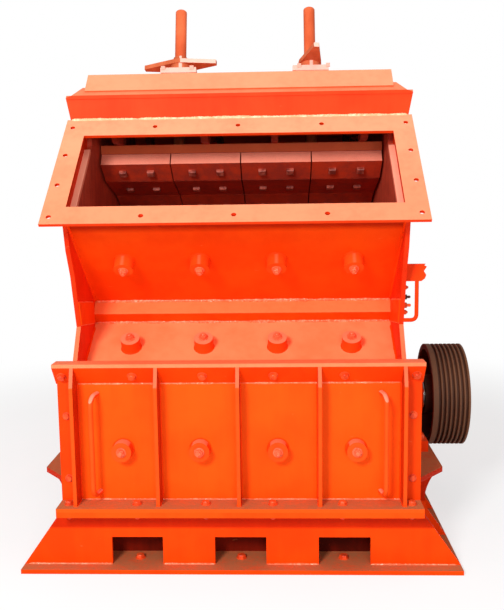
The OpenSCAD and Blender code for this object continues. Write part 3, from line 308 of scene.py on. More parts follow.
# Lower front wall: a pale copy of the housing red; the paleness is painted light, the lit look of a slope
# that faces up
lower_wall_paint = gloss_paint("lower_wall_paint", tone(255, 152, 100), tone(255, 136, 84))
# Angle bar: a painted highlight on its face that slopes up and forward
angle_paint = gloss_paint("angle_paint", tone(250, 84, 10), tone(242, 70, 6), painted_light=tone(255, 130, 76),
    painted_light_way=SLOPE_WAY, painted_light_from=0.85)
# Upper front wall: a lighter copy of the housing red as painted light on a wall that faces down, and a band
# of painted shade under the feed flange
upper_wall_paint = gloss_paint("upper_wall_paint", tone(255, 78, 8), tone(248, 66, 4),
    painted_shade=(UNDER_LEDGE_SHADE, 1.535, 1.566))
# Feed flange: a darker red on its edges as painted shade, and a painted highlight on its sloping face that is
# lighter higher up
flange_paint = gloss_paint("flange_paint", tone(236, 62, 14), tone(226, 52, 8), painted_light=tone(255, 150, 108),
    painted_light_high=tone(255, 168, 126), painted_light_way=FLANGE_WAY, painted_light_from=0.93)
# Top bar: a painted highlight on its face that slopes up and forward
bar_paint = gloss_paint("bar_paint", tone(255, 70, 26), tone(250, 60, 20), painted_light=tone(255, 132, 92),
    painted_light_way=SLOPE_WAY, painted_light_from=0.80)
# Chute bars: a pale copy of the red as painted light against the feed flange's shadow, with a painted
# highlight on faces along the flange
chute_paint = gloss_paint("chute_paint", tone(255, 146, 118), tone(246, 126, 98), painted_light=tone(255, 172, 142),
    painted_light_way=FLANGE_WAY, painted_light_from=0.9)
# Front roof: a lighter copy of the red as painted light, with a painted highlight on its slope
roof_paint = gloss_paint("roof_paint", tone(255, 110, 66), tone(250, 96, 50), painted_light=tone(255, 160, 118),
    painted_light_way=SLOPE_WAY, painted_light_from=0.62)
# Rod pads: a pale copy of the red as painted light, with a less pale tone, also painted light, on faces that
# look up along the rods' lean
pad_paint = gloss_paint("pad_paint", tone(255, 206, 190), tone(255, 190, 172), painted_light=tone(255, 150, 130),
    painted_light_way=LEANING_WAY)
rod_paint = gloss_paint("rod_paint", tone(244, 120, 74), tone(216, 92, 52), rough=0.34)
# Lock plates: a painted highlight on the face of one wing
lock_paint = gloss_paint("lock_paint", tone(232, 128, 86), tone(198, 94, 56), painted_light=tone(255, 214, 196),
    painted_light_way=(0.11, -0.95, 0.31), painted_light_from=0.985)
# Apron frame: a painted highlight on faces that look forward
apron_steel = cast_steel("apron_steel", tone(170, 56, 28), tone(132, 38, 18), steel_highlight=tone(206, 92, 44),
    steel_highlight_way=(0, -1, 0), steel_highlight_from=0.97)
# Apron plates: a painted highlight on faces that look forward and up
plate_steel = cast_steel("plate_steel", tone(206, 60, 26), tone(168, 52, 34), steel_highlight=tone(255, 150, 124),
    steel_highlight_way=(0, -0.8, 0.6), steel_highlight_from=0.988)
liner_steel = cast_steel("liner_steel", tone(206, 76, 48), tone(178, 58, 36))
rotor_steel = cast_steel("rotor_steel", tone(120, 60, 40), tone(88, 40, 28))
blow_bar_steel = bare_steel("blow_bar_steel", tone(150, 142, 134), tone(98, 52, 32), rust_share=0.6)
shaft_steel = bare_steel("shaft_steel", tone(176, 170, 164), tone(120, 66, 38), rust_share=0.35)
pulley_iron = sheave_iron()
# Housing welds: a painted highlight on the ripples' crests
weld_paint = weld_metal("weld_paint", tone(255, 104, 54), tone(255, 158, 116))
# Weld at the foot of the top bar: a pale copy of the weld paint as painted light, with a lighter painted
# highlight on its crests
pale_weld = weld_metal("pale_weld", tone(255, 180, 126), tone(255, 228, 184))
bolt_paint = fastener_paint("bolt_paint", tone(250, 92, 40), tone(226, 62, 20), tone(176, 84, 52))
# Boss nuts: a lighter copy of the bolt paint as painted light, whose near-white chips are painted glints
pale_bolt_paint = fastener_paint("pale_bolt_paint", tone(255, 116, 76), tone(250, 92, 50),
    tone(255, 196, 170))
plate_bolt_paint = fastener_paint("plate_bolt_paint", tone(186, 92, 74), tone(130, 48, 36), tone(92, 40, 34))
dark_bolt_steel = fastener_paint("dark_bolt_steel", tone(96, 60, 48), tone(70, 42, 34), tone(140, 92, 64))

NODES_BY_FINISH = (
    (base_paint, "base_plate base_end_plates base_side_walls base_gussets bearing_shelves shelf_webs"),
    (inside_shade_paint, "base_cross_walls"),
    (base_flange_paint, "base_flange"),
    (cheek_paint, "lower_side_plates upper_side_plates"),
    (lower_wall_paint, "lower_front_wall"),
    (housing_paint, "lower_rear_wall bearing_housings shaft_seals roof_skirts lower_flange "
     "front_half_flange rear_half_flange rear_side_plates rear_roof rear_wall side_bracket "
     "side_handle"),
    (cover_paint, "cover_frame cover_plate"),
    (cover_rib_paint, "cover_ribs"),
    (cover_flange_paint, "cover_flanges"),
    (cover_bar_paint, "cover_bars"),
    (handle_paint, "cover_handles"),
    (boss_paint, "liner_bolt_bosses"),
    (upper_wall_paint, "upper_front_wall"),
    (angle_paint, "angle_bar"),
    (flange_paint, "feed_flange"),
    (bar_paint, "top_bar"),
    (roof_paint, "front_roof"),
    (pad_paint, "rod_pads"),
    (liner_steel, "side_liners"),
    (shaft_steel, "apron_pivots rotor_shaft"),
    (apron_steel, "rear_apron_frame front_apron_frame"),
    (plate_steel, "rear_apron_plates front_apron_plates"),
    (rod_paint, "rear_apron_rods adjusting_rods"),
    (rotor_steel, "rotor_hub rotor_body bar_wedges"),
    (blow_bar_steel, "blow_bars"),
    (pulley_iron, "belt_pulley"),
    (lock_paint, "lock_plates"),
    (chute_paint, "chute_bars"),
)
for finish, node_names in NODES_BY_FINISH:
    for node_name in node_names.split():
        for material_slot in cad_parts[node_name].material_slots:
            material_slot.material = finish


# ---- Surfaces as whole arrays --------------------------------------------------------------------

class Surface:
    """Points (N, 3) with four- and three-cornered faces as index arrays."""

    def __init__(self, points, quads, triangles=()):
        self.points = np.asarray(points, float).reshape(-1, 3)
        self.quads = np.asarray(quads, int).reshape(-1, 4)
        self.triangles = np.asarray(triangles, int).reshape(-1, 3)

    def copies(self, frames):
        """One copy for each 3 x 4 frame (columns: x way, y way, z way, place), all in one array sum."""
        frames = np.asarray(frames, float)
        points = np.einsum("mij,nj->mni", frames[:, :, :3], self.points) + frames[:, None, :, 3]
        shift = (np.arange(len(frames)) * len(self.points))[:, None, None]
        return Surface(points, self.quads + shift, self.triangles + shift)


def joined(surfaces):
    """All surfaces as one: points end to end, faces shifted by the points before them."""
    starts = np.cumsum([0] + [len(s.points) for s in surfaces[:-1]])
    return Surface(np.concatenate([s.points for s in surfaces]),
                   np.concatenate([s.quads + a for s, a in zip(surfaces, starts)]),
                   np.concatenate([s.triangles + a for s, a in zip(surfaces, starts)]))


def piece(name, surface, material, body="housing", sharp=32):
    """Puts a surface into a mesh object that rides on a body. Edges sharper than sharp degrees stay crisp."""
    mesh = bpy.data.meshes.new(name)
    mesh.from_pydata(surface.points.tolist(), [], surface.quads.tolist() + surface.triangles.tolist())
    mesh.polygons.foreach_set("use_smooth", np.ones(len(mesh.polygons), bool))
    mesh.set_sharp_from_angle(angle=math.radians(sharp))
    mesh.materials.append(material)
    obj = bpy.data.objects.new(name, mesh)
    bpy.context.scene.collection.objects.link(obj)
    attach(obj, body)
    return obj


def tube(rings, ends, flip=False):
    """Closed surface over rings of points, (rows, around, 3), with a fan at each end about one of the two
    end points; flip turns its faces over."""
    rows, around = rings.shape[:2]
    k = np.arange(around)
    m = (k + 1) % around
    r = np.arange(rows - 1)[:, None] * around
    last = (rows - 1) * around
    quads = np.stack([r + k, r + m, r + around + m, r + around + k], -1).reshape(-1, 4)
    caps = np.concatenate([np.stack([np.full(around, rows * around), m, k], -1),
                           np.stack([np.full(around, rows * around + 1), last + k, last + m], -1)])
    if flip:
        quads, caps = quads[:, [0, 3, 2, 1]], caps[:, ::-1]
    return Surface(np.concatenate([rings.reshape(-1, 3), ends]), quads, caps)


def hoop(reach, up):
    """Closed section carried round Z: its radii and heights as (around, n) arrays, a row for each angle."""
    around, n = up.shape
    a = np.arange(around)[:, None] * 2 * np.pi / around
    r, q = np.arange(around)[:, None] * n, ((np.arange(around) + 1) % around)[:, None] * n
    k = np.arange(n)
    m = (k + 1) % n
    return Surface(np.stack([reach * np.cos(a), reach * np.sin(a), up], -1),
                   np.stack([r + k, q + k, q + m, r + m], -1))


def turned(rows, around=24):
    """A closed solid of revolution about Z. rows are (radius, height, sides): a point at angle a of a row
    is at radius times cos(pi/sides) / cos(a mod 2 pi/sides - pi/sides), so sides 6 gives a hexagon, 4 a
    square and 0 a circle. The first and the last row are single points on the axis."""
    rows = np.array(rows, float)
    radius, height, sides = rows[1:-1, 0], rows[1:-1, 1], rows[1:-1, 2]
    angle = np.arange(around) * 2 * np.pi / around
    count = np.where(sides > 0, sides, 1)[:, None]
    flat = np.cos((angle[None, :] + 1e-9) % (2 * np.pi / count) - np.pi / count)
    reach = radius[:, None] * np.where(sides[:, None] > 0, 1.0 / np.where(sides[:, None] > 0, flat, 1.0), 1.0)
    ring = np.stack([reach * np.cos(angle), reach * np.sin(angle), np.repeat(height[:, None], around, 1)], -1)
    return tube(ring, [[0, 0, rows[0, 1]], [0, 0, rows[-1, 1]]])


def frames_at(places, way, turn=None):
    """3 x 4 frames whose Z way is way and whose turn about it is given for each place, in radians."""
    places = np.asarray(places, float).reshape(-1, 3)
    z = np.asarray(way, float) / np.linalg.norm(way)
    side = np.cross((0, 0, 1) if abs(z[2]) < 0.9 else (0, 1, 0), z)
    x = side / np.linalg.norm(side)
    y = np.cross(z, x)
    a = np.zeros(len(places)) if turn is None else np.asarray(turn, float)
    c, s = np.cos(a)[:, None], np.sin(a)[:, None]
    return np.stack([c * x + s * y, c * y - s * x, np.repeat(z[None], len(places), 0), places], -1)


def hex_bolt(flats, height, washer=True, around=24):
    """Bolt head on a washer: a hexagon row whose corners are cut back by a cone at its top."""
    f, w = flats / 2, 0.0035 if washer else 0.0
    rows = [(0, -0.002, 0)]
    if washer:
        rows += [(f * 1.42, -0.002, 0), (f * 1.42, w * 0.75, 0), (f * 1.34, w, 0)]
    else:
        rows += [(f * 1.02, -0.002, 0)]
    rows += [(f, w, 6), (f, w + height * 0.80, 6), (f * 0.93, w + height, 0),
             (f * 0.60, w + height * 1.005, 0), (0, w + height * 1.005, 0)]
    return turned(rows, around)


def hex_nut(flats, height, stud, end, washer=True, around=24):
    """Nut on a washer with the bolt's end standing out of it by end."""
    f, w = flats / 2, 0.004 if washer else 0.0
    rows = [(0, -0.002, 0)]
    if washer:
        rows += [(f * 1.5, -0.002, 0), (f * 1.5, w * 0.8, 0), (f * 1.42, w, 0)]
    rows += [(f, w, 6), (f, w + height * 0.82, 6), (f * 0.95, w + height, 0),
             (stud / 2 + 0.0012, w + height, 0),
             (stud / 2, w + height - 0.001, 0), (stud / 2, w + height + end * 0.75, 0),
             (stud / 2 * 0.75, w + height + end, 0), (0, w + height + end, 0)]
    return turned(rows, around)


def square_head(side, height):
    """Square bolt head with its top edges cut back."""
    f = side / 2
    return turned([(0, -0.003, 0), (f, -0.003, 4), (f, height * 0.75, 4), (f * 0.82, height, 4),
                   (0, height * 1.02, 0)], 16)


def bead(start, end, one, other, size=0.008, pitch=0.011, seed=0):
    """Weld bead along a straight corner from start to end. one and other are the unit ways of the two
    faces away from the corner. Across, a point at angle t is size / (cos t + sin t) times 1 + 0.35 sin 2t
    away from the corner; along, the size ripples with the pitch, wanders with smoothed noise and runs out
    at both ends."""
    start, end, one, other = (np.asarray(v, float) for v in (start, end, one, other))
    length = np.linalg.norm(end - start)
    rows = max(6, int(length / 0.0045))
    s = np.linspace(0, 1, rows)
    rng = np.random.default_rng(seed + rows)
    wander = np.convolve(rng.normal(0, 1, rows + 12), np.ones(13) / 13, "valid") * 0.55
    speckle = rng.normal(0, 0.10, rows)
    ripple = 0.16 * np.abs(np.sin(np.pi * s * length / pitch))
    run_out = np.clip(np.minimum(s, 1 - s) * length / 0.012, 0.05, 1) ** 0.5
    grow = size * run_out * (0.86 + ripple + wander + speckle)
    t = np.linspace(0, np.pi / 2, 5)
    across = (1 + 0.35 * np.sin(2 * t)) / (np.cos(t) + np.sin(t))
    arc = np.cos(t)[:, None] * one + np.sin(t)[:, None] * other
    outer = grow[:, None, None] * (across[:, None] * arc)[None]
    root = np.repeat((-(one + other) * 0.0015)[None, None], rows, 0)
    ring = np.concatenate([outer, root], 1) + (start + s[:, None] * (end - start))[:, None]
    flip = np.dot(np.cross(one, other), end - start) <= 0
    return tube(ring, [ring[0].mean(0), ring[-1].mean(0)], flip)


def ring_bead(radius, size=0.006, seed=0, around=72):
    """Weld bead round the foot of a round piece: the corner section of a bead, carried round a circle."""
    rng = np.random.default_rng(seed)
    a = np.arange(around) * 2 * np.pi / around
    grow = size * (0.9 + 0.2 * np.abs(np.sin(a * radius / 0.011 * np.pi)) + rng.normal(0, 0.10, around))
    t = np.linspace(0, np.pi / 2, 5)
    across = (1 + 0.35 * np.sin(2 * t)) / (np.cos(t) + np.sin(t))
    out = np.concatenate([across * np.cos(t), [-0.3]])
    up = np.concatenate([across * np.sin(t), [-0.3]])
    return hoop(radius + grow[:, None] * out[None], grow[:, None] * up[None])


def plate(one_edge, other_edge, thickness):
    """Flat plate between two edges, each a row of points: a grid of two rows, and the same grid moved by the
    thickness, a way in space, joined along all four sides."""
    one_edge, other_edge, thickness = (np.asarray(v, float) for v in (one_edge, other_edge, thickness))
    n = len(one_edge)
    points = np.concatenate([one_edge, other_edge, one_edge + thickness, other_edge + thickness])
    k = np.arange(n - 1)
    bands = [(k, k + n, k + n + 1, k + 1), (k + 2 * n, k + 2 * n + 1, k + 3 * n + 1, k + 3 * n),
             (k, k + 1, k + 2 * n + 1, k + 2 * n), (k + n, k + 3 * n, k + 3 * n + 1, k + n + 1)]
    quads = np.concatenate([np.stack(band, -1) for band in bands]
                           + [[[0, 2 * n, 3 * n, n], [n - 1, 2 * n - 1, 4 * n - 1, 3 * n - 1]]])
    if np.dot(np.cross(one_edge[-1] - one_edge[0], other_edge[0] - one_edge[0]), thickness) <= 0:
        quads = quads[:, ::-1]
    return Surface(points, quads)


def bent_rod(corners, side, radius, bend=0.03, around=14):
    """Round bar bent in one plane. Each inner corner becomes the curve (1-t)^2 a + 2t(1-t) b + t^2 c
    between the points a bend before and after it; the section is a circle spanned by side and the
    in-plane normal."""
    corners = np.asarray(corners, float)
    t = np.linspace(0, 1, 9)[:, None]
    before, after = corners[:-2] - corners[1:-1], corners[2:] - corners[1:-1]
    a = corners[1:-1] + bend * before / np.linalg.norm(before, axis=1, keepdims=True)
    c = corners[1:-1] + bend * after / np.linalg.norm(after, axis=1, keepdims=True)
    inner = corners[1:-1, None]
    curves = (1 - t)[None] ** 2 * a[:, None] + 2 * (t * (1 - t))[None] * inner + t[None] ** 2 * c[:, None]
    path = np.concatenate([corners[:1], curves.reshape(-1, 3), corners[-1:]])
    along = np.gradient(path, axis=0)
    along /= np.linalg.norm(along, axis=1, keepdims=True)
    side = np.asarray(side, float)
    normal = np.cross(along, side)
    angle = (np.arange(around) * 2 * np.pi / around)[None, :, None]
    rings = path[:, None] + radius * (np.cos(angle) * side + np.sin(angle) * normal[:, None])
    return tube(rings, path[[0, -1]])


def flat_faces(node, way, within=0.985):
    """Triangles of a CAD node that look along way: their centres, areas and normals."""
    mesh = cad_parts[node].data
    points = np.zeros(len(mesh.vertices) * 3, np.float32)
    mesh.vertices.foreach_get("co", points)
    mesh.calc_loop_triangles()
    index = np.zeros(len(mesh.loop_triangles) * 3, np.int32)
    mesh.loop_triangles.foreach_get("vertices", index)
    corners = points.reshape(-1, 3)[index.reshape(-1, 3)].astype(float)
    cross = np.cross(corners[:, 1] - corners[:, 0], corners[:, 2] - corners[:, 0])
    twice = np.linalg.norm(cross, axis=1) + 1e-12
    normals = cross / twice[:, None]
    keep = normals @ (np.asarray(way, float) / np.linalg.norm(way)) > within
    return corners[keep].mean(1), twice[keep] / 2, normals[keep]


def spots(node, way, pitch=0.02, within=0.985, least=0.0):
    """Middle of each separate flat face of a node that looks along way: triangles are gathered by the
    places of their planes and by cells of the given pitch across, and their middles weighed by area."""
    centres, areas, normals = flat_faces(node, way, within)
    plane = np.round(np.sum(normals * centres, 1, keepdims=True) / 0.01)
    key = np.concatenate([np.floor(centres[:, :1] / pitch), plane, np.round(normals * 20)], 1)
    _, group = np.unique(key, axis=0, return_inverse=True)
    group = group.ravel()
    total = np.bincount(group, areas)
    middle = np.stack([np.bincount(group, areas * centres[:, i]) for i in range(3)], -1) / total[:, None]
    normal = np.stack([np.bincount(group, areas * normals[:, i]) for i in range(3)], -1) / total[:, None]
    keep = total > least
    return middle[keep], normal[keep]


# ---- Places on the frame ---------------------------------------------------------------------------

def low(node):
    return np.array(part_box(node)[0])


def high(node):
    return np.array(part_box(node)[1])


def way(degrees):
    """Unit way in a side view, from level towards the back and up."""
    return np.array([math.cos(math.radians(degrees)), math.sin(math.radians(degrees))])


def left_of(u):
    return np.array([-u[1], u[0]])


def meet(p, u, q, v):
    """Crossing of the line through p along u with the line through q along v, in a side view."""
    return p + u * np.cross(q - p, v) / np.cross(u, v)


def solid(side):
    """A side view's (back, up) pair as a way in space."""
    return np.array([0.0, side[0], side[1]])


def across(xs, side):
    """Places at each x over one point of a side view."""
    xs = np.asarray(xs, float)
    return np.stack([xs, np.full(len(xs), side[0]), np.full(len(xs), side[1])], -1)


OUTER = high("lower_side_plates")[0]    # outer face of the side plates
INNER = OUTER - 0.020                   # their inner face
FLANGE_U = way(math.degrees(FLANGE_SLOPE))
FLANGE_N = left_of(FLANGE_U)
FLANGE_T = 0.014
LOW_U = way(31.45)                      # up along the lower front wall
HIGH_U = way(140)                       # up along the upper front wall
WALL_T = 0.016
bar_tip = np.array([low("angle_bar")[1], (low("angle_bar")[2] + high("angle_bar")[2]) / 2])
bar_leg = (high("angle_bar")[2] - low("angle_bar")[2]) / math.sqrt(2)
bar_high = bar_tip + bar_leg * way(45)
low_top = np.array([high("lower_front_wall")[1] - WALL_T * LOW_U[1], high("lower_front_wall")[2]])
low_foot = meet(low_top, LOW_U, np.array([high("cover_frame")[1], 0.0]), np.array([0.0, 1.0]))
bar_low = meet(bar_tip, way(-45), low_top, LOW_U)
flange_edge = np.array([low("feed_flange")[1], low("feed_flange")[2] + FLANGE_T * FLANGE_N[1]])
flange_under = flange_edge - FLANGE_T * FLANGE_N
high_top = meet(bar_high, HIGH_U, flange_under, FLANGE_U)
upright_y = FRONT + 0.450
upright_foot = meet(np.array([upright_y, 0.0]), np.array([0.0, 1.0]), flange_edge, FLANGE_U)
cover_y = high("cover_ribs")[1]
bar_y = cover_y - 0.010
hood_front = np.array([low("cover_bars")[1], high("cover_ribs")[2]])
sloping_foot = np.array([cover_y, hood_front[1] - 0.085])
SLOPING_U = (hood_front - sloping_foot) / np.linalg.norm(hood_front - sloping_foot)
rib_front = low("cover_ribs")[1]
rib_end = high("cover_ribs")[0] - 0.008
cover_low = low("cover_ribs")[2]
rotor_y = (low("rotor_shaft")[1] + high("rotor_shaft")[1]) / 2
rotor_z = (low("rotor_shaft")[2] + high("rotor_shaft")[2]) / 2
split_z = high("lower_flange")[2]
joint_y = high("front_half_flange")[1]
roof_z = high("front_half_flange")[2] - 0.040
rear_y = high("rear_wall")[1]


def spun(shape, places, way, seed):
    """Copies of a fastener at the places, along way, each at a random turn about its own axis."""
    turn = np.random.default_rng(seed).uniform(0, 2 * np.pi, len(places))
    return shape.copies(frames_at(places, way, turn))


# ---- Fasteners -------------------------------------------------------------------------------------

flange_bolt = hex_bolt(0.030, 0.014)
anchor_bolt = hex_bolt(0.034, 0.014)
edge_bolt = hex_bolt(0.026, 0.010)
bearing_bolt = hex_bolt(0.046, 0.024)
flange_nut = hex_nut(0.030, 0.015, 0.020, 0.008)
liner_nut = hex_nut(0.030, 0.016, 0.020, 0.008)
plain_bolt = hex_bolt(0.030, 0.013, around=12)
plain_nut = hex_nut(0.030, 0.015, 0.020, 0.010, around=12)

# Cover: six bolts down through its lower flange, six in the bars under its upper flange, two on each edge bar
flange_xs = np.array([-0.767, -0.46, -0.15, 0.15, 0.46, 0.767])
foot_places = across(flange_xs, (FRONT + 0.012, cover_low))
head_places = across([-0.785, -0.47, -0.157, 0.157, 0.47, 0.785], (sloping_foot + hood_front) / 2)
edge_places = np.array([(x, bar_y, z) for x in (-0.776, 0.776) for z in (0.43, 0.72)])
under_flange = foot_places - (0, 0, cover_low - low("base_flange")[2])
piece("cover_flange_bolts", joined([
    spun(flange_bolt, foot_places, (0, 0, 1), 1), spun(flange_nut, under_flange, (0, 0, -1), 2)]), bolt_paint)
piece("cover_head_bolts", spun(flange_bolt, head_places, solid(left_of(SLOPING_U)), 3), bolt_paint)
piece("cover_edge_bolts", spun(edge_bolt, edge_places, (0, -1, 0), 4), bolt_paint)

# Liner bolts that end on the bosses
BOSS_PITCH, BOSS_HEIGHT, BOSS_RADIUS = 0.350, 0.058, 0.045
boss_ways = (-np.array([0.0, 1.0, 0.0]), solid(left_of(LOW_U)), solid(left_of(HIGH_U)))
boss_rows = [spots("liner_bolt_bosses", each_way, BOSS_PITCH, within=0.995)[0] for each_way in boss_ways]
piece("boss_nuts", joined([
    spun(liner_nut, middles, boss_way, 10 + row)
    for row, (boss_way, middles) in enumerate(zip(boss_ways, boss_rows))]), pale_bolt_paint)

# Foundation bolts in the base plate
anchor_xs = (-0.474, 0.0, 0.474)
anchor_y, anchor_z = FRONT + 0.130, high("base_plate")[2]
anchor_places = np.concatenate([across(anchor_xs, (s * anchor_y, anchor_z)) for s in (1, -1)])
piece("anchor_bolts", spun(anchor_bolt, anchor_places, (0, 0, 1), 5), bolt_paint)

# Square-headed bolts of the apron's liner plates, two to a plate
face_way = (0, -0.75, -0.66)
face_middles, face_normals = spots("front_apron_plates", face_way, pitch=BOSS_PITCH, within=0.45, least=0.03)
plate_bolt = square_head(0.036, 0.016)
heads = []
for side in (-0.070, 0.070):
    for normal in np.unique(np.round(face_normals, 3), axis=0):
        same = np.linalg.norm(face_normals - normal, axis=1) < 0.02
        level = np.full(same.sum(), np.pi / 4)
        heads.append(plate_bolt.copies(frames_at(face_middles[same] + (side, 0, 0), normal, level)))
piece("apron_plate_bolts", joined(heads), plate_bolt_paint, "front_apron")

# Bolts along the split and up the joint of the two halves, with their nuts on the far side
flange_x = OUTER + 0.029
front_y = np.arange(FRONT + 0.680, joint_y - 0.06, 0.150)
back_y = np.arange(joint_y + 0.09, rear_y - 0.02, 0.150)
split_places = np.array([(s * flange_x, y, 0.0) for s in (-1, 1) for y in (*front_y, *back_y)])
rear_places = across(np.linspace(-0.66, 0.66, 9), (rear_y + 0.030, 0.0))
level_places = np.concatenate([split_places, rear_places])
joint_z = np.linspace(split_z + 0.11, roof_z - 0.14, 7)
joint_places = np.array([(s * flange_x, joint_y, z) for s in (-1, 1) for z in joint_z])
roof_places = across([-0.62, -0.5, -0.24, -0.12, 0.0, 0.12, 0.24, 0.5, 0.62], (joint_y, roof_z + 0.022))
upright_places = np.concatenate([joint_places, roof_places])
piece("joint_bolts", joined([
    spun(plain_bolt, level_places + (0, 0, split_z + WALL_T), (0, 0, 1), 6),
    spun(plain_bolt, upright_places - (0, WALL_T, 0), (0, -1, 0), 7)]), bolt_paint)
piece("joint_nuts", joined([
    spun(plain_nut, level_places + (0, 0, split_z - WALL_T), (0, 0, -1), 8),
    spun(plain_nut, upright_places + (0, WALL_T, 0), (0, 1, 0), 9)]), bolt_paint)

# Nuts of the side liners' bolts, in rows on both side plates
liner_spots = [(y, z) for z in (0.50, 0.80) for y in (0.30, 0.52, 1.30, 1.58, 1.88)]
liner_spots += [(y, 1.02) for y in (0.46, 0.68, 0.92, 1.20, 1.58, 1.88)]
liner_spots += [(y, z) for z in (1.27, 1.52) for y in (0.60, 0.90, 1.22, 1.58, 1.86)] + [(1.86, 1.74)]
liner_spots += [(y, z) for z in (1.78, 2.02) for y in (0.78, 1.05, 1.30)]
liner_spots += [(1.58, 1.78), (0.36, 1.47), (0.42, 1.64), (0.54, 1.85)]
left_places, right_places = ([(s * OUTER, FRONT + y, z) for y, z in liner_spots] for s in (-1, 1))
piece("side_liner_nuts", joined([
    spun(plain_nut, left_places, (-1, 0, 0), 20), spun(plain_nut, right_places, (1, 0, 0), 21)]), bolt_paint)

# Bolt ends beside the grip on the right cheek
cheek_y = FRONT + 0.222


def on_cheek(shape, z):
    """A fastener on the right cheek's outer face."""
    return shape.copies(frames_at([(OUTER, cheek_y, z)], (1, 0, 0)))


piece("cheek_bolt_ends", joined([
    on_cheek(hex_nut(0.020, 0.010, 0.012, 0.008), 1.272),
    on_cheek(hex_nut(0.024, 0.012, 0.014, 0.018), 1.190),
    on_cheek(hex_nut(0.020, 0.010, 0.012, 0.006), 1.158)]), bolt_paint)
piece("cheek_dark_stud", on_cheek(hex_nut(0.022, 0.012, 0.012, 0.016), 1.228), dark_bolt_steel)

# Forked bracket on the right cheek and the grip bent from round bar that hangs under it
bracket_front, bracket_back = low("side_bracket")[1], high("side_bracket")[1]
bracket_low, bracket_high, bracket_tip = 1.302, 1.380, high("side_bracket")[0]
share = np.array([0.0, 0.15, 0.36, 0.58, 0.84, 0.92, 1.0])
inset = np.array([0.024, 0.008, 0.002, 0.013, 0.0, 0.011, 0.006])
bracket_z = bracket_low + share * (bracket_high - bracket_low)
wall_edge = np.stack([np.full(7, OUTER - 0.002), np.full(7, bracket_front), bracket_z], -1)
free_edge = np.stack([bracket_tip - inset, np.full(7, bracket_front), bracket_z], -1)
depth = np.array([0.0, bracket_back - bracket_front, 0.0])
forked = piece("cheek_bracket", plate(free_edge, wall_edge, depth), housing_paint)
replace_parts(forked, "side_bracket")
grip_x, grip_y, grip_low = 0.808, (bracket_front + bracket_back) / 2 + 0.004, low("side_handle")[2] + 0.009
grip_corners = [(grip_x, grip_y, bracket_low + 0.006), (grip_x, grip_y, grip_low),
                (OUTER - 0.004, grip_y, grip_low)]
grip = bent_rod(grip_corners, (0, 1, 0), 0.009, 0.028)
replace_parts(piece("cheek_grip", grip, housing_paint), "side_handle")

# Small lugs at the corners of the rod pads, leaning with them
lean = solid(way(90 + math.degrees(ROD_LEAN)))
pad_front = np.array([0.0, low("rod_pads")[1] + 0.030, high("rod_pads")[2] - 0.012])
lugs = []
for x in (-0.46, -0.30, 0.30, 0.46):
    foot = pad_front + (x - 0.005, -0.008, 0.0)
    foot_edge = np.stack([foot, foot + (0.022, 0, 0)])
    lugs.append(plate(foot_edge, foot_edge + 0.020 * lean, (0, 0.014, 0.0)))
piece("pad_lugs", joined(lugs), pad_paint)

# Corner plates on the cheeks' inner sides, from the ends of the angle bar to the cheeks' front edges
cheek_low, cheek_high = np.array([FRONT + 0.206, 1.112]), np.array([FRONT + 0.172, 1.222])
bar_back_low, bar_back_high = np.array([FRONT + 0.470, 1.082]), np.array([FRONT + 0.458, 1.186])
corner_plates, corner_welds = [], []
for s in (-1, 1):
    x = s * (INNER + 0.001)
    edge = [[(x, *cheek_low), (x, *bar_back_low)], [(x, *cheek_high), (x, *bar_back_high)]]
    corner_plates.append(plate(edge[0], edge[1], (-s * 0.006, 0, 0)))
    for (start, end), out in zip(edge, (way(-90), way(90))):
        corner_welds.append((start, end, s, out))
piece("corner_plates", joined(corner_plates), angle_paint)

# Bearings: foot bolts, end rings with their screws, grease nipples; ring screws of the shaft seals
bearing_x = high("bearing_housings")[0] - 0.084
foot_z = high("bearing_shelves")[2] + 0.055
FOOT_BOLT_X, FOOT_BOLT_Y = 0.045, 0.262         # from the middle of a bearing's foot to its bolts
bearing_feet = np.array([(s * (bearing_x + dx), rotor_y + dy, foot_z) for s in (-1, 1)
                         for dx in (-FOOT_BOLT_X, FOOT_BOLT_X) for dy in (-FOOT_BOLT_Y, FOOT_BOLT_Y)])
END_RING_T, END_SCREWS_R, SEAL_T, SEAL_SCREWS_R = 0.007, 0.101, 0.018, 0.179
screw_angle = np.arange(8) * np.pi / 4 + np.pi / 8


def round_the_shaft(x, radius, angles):
    """Places on a circle about the rotor's axis."""
    y, z = rotor_y + radius * np.cos(angles), rotor_z + radius * np.sin(angles)
    return np.stack([np.full(len(angles), x), y, z], -1)


end_x = high("bearing_housings")[0]
end_screw = hex_bolt(0.020, 0.006, washer=False, around=12)
seal_screw = hex_bolt(0.019, 0.007, around=12)
screw_bits = []
for s in (-1, 1):
    on_end = round_the_shaft(s * (end_x + END_RING_T), END_SCREWS_R, screw_angle)
    on_seal = round_the_shaft(s * (OUTER + SEAL_T), SEAL_SCREWS_R, screw_angle)
    screw_bits += [spun(end_screw, on_end, (s, 0, 0), 30 + s), spun(seal_screw, on_seal, (s, 0, 0), 34 + s)]
screw_bits.append(spun(bearing_bolt, bearing_feet, (0, 0, 1), 33))
piece("bearing_screws", joined(screw_bits), bolt_paint)


def annulus(inner, outer, thick, around=72):
    """Closed ring about Z: a rounded oblong section carried round a circle."""
    edge = thick * 0.3
    section = np.array([(inner, 0), (outer - edge, 0), (outer, edge), (outer, thick - edge),
        (outer - edge, thick), (inner + edge, thick), (inner, thick - edge)])
    return hoop(section[None, :, 0], np.repeat(section[None, :, 1], around, 0))


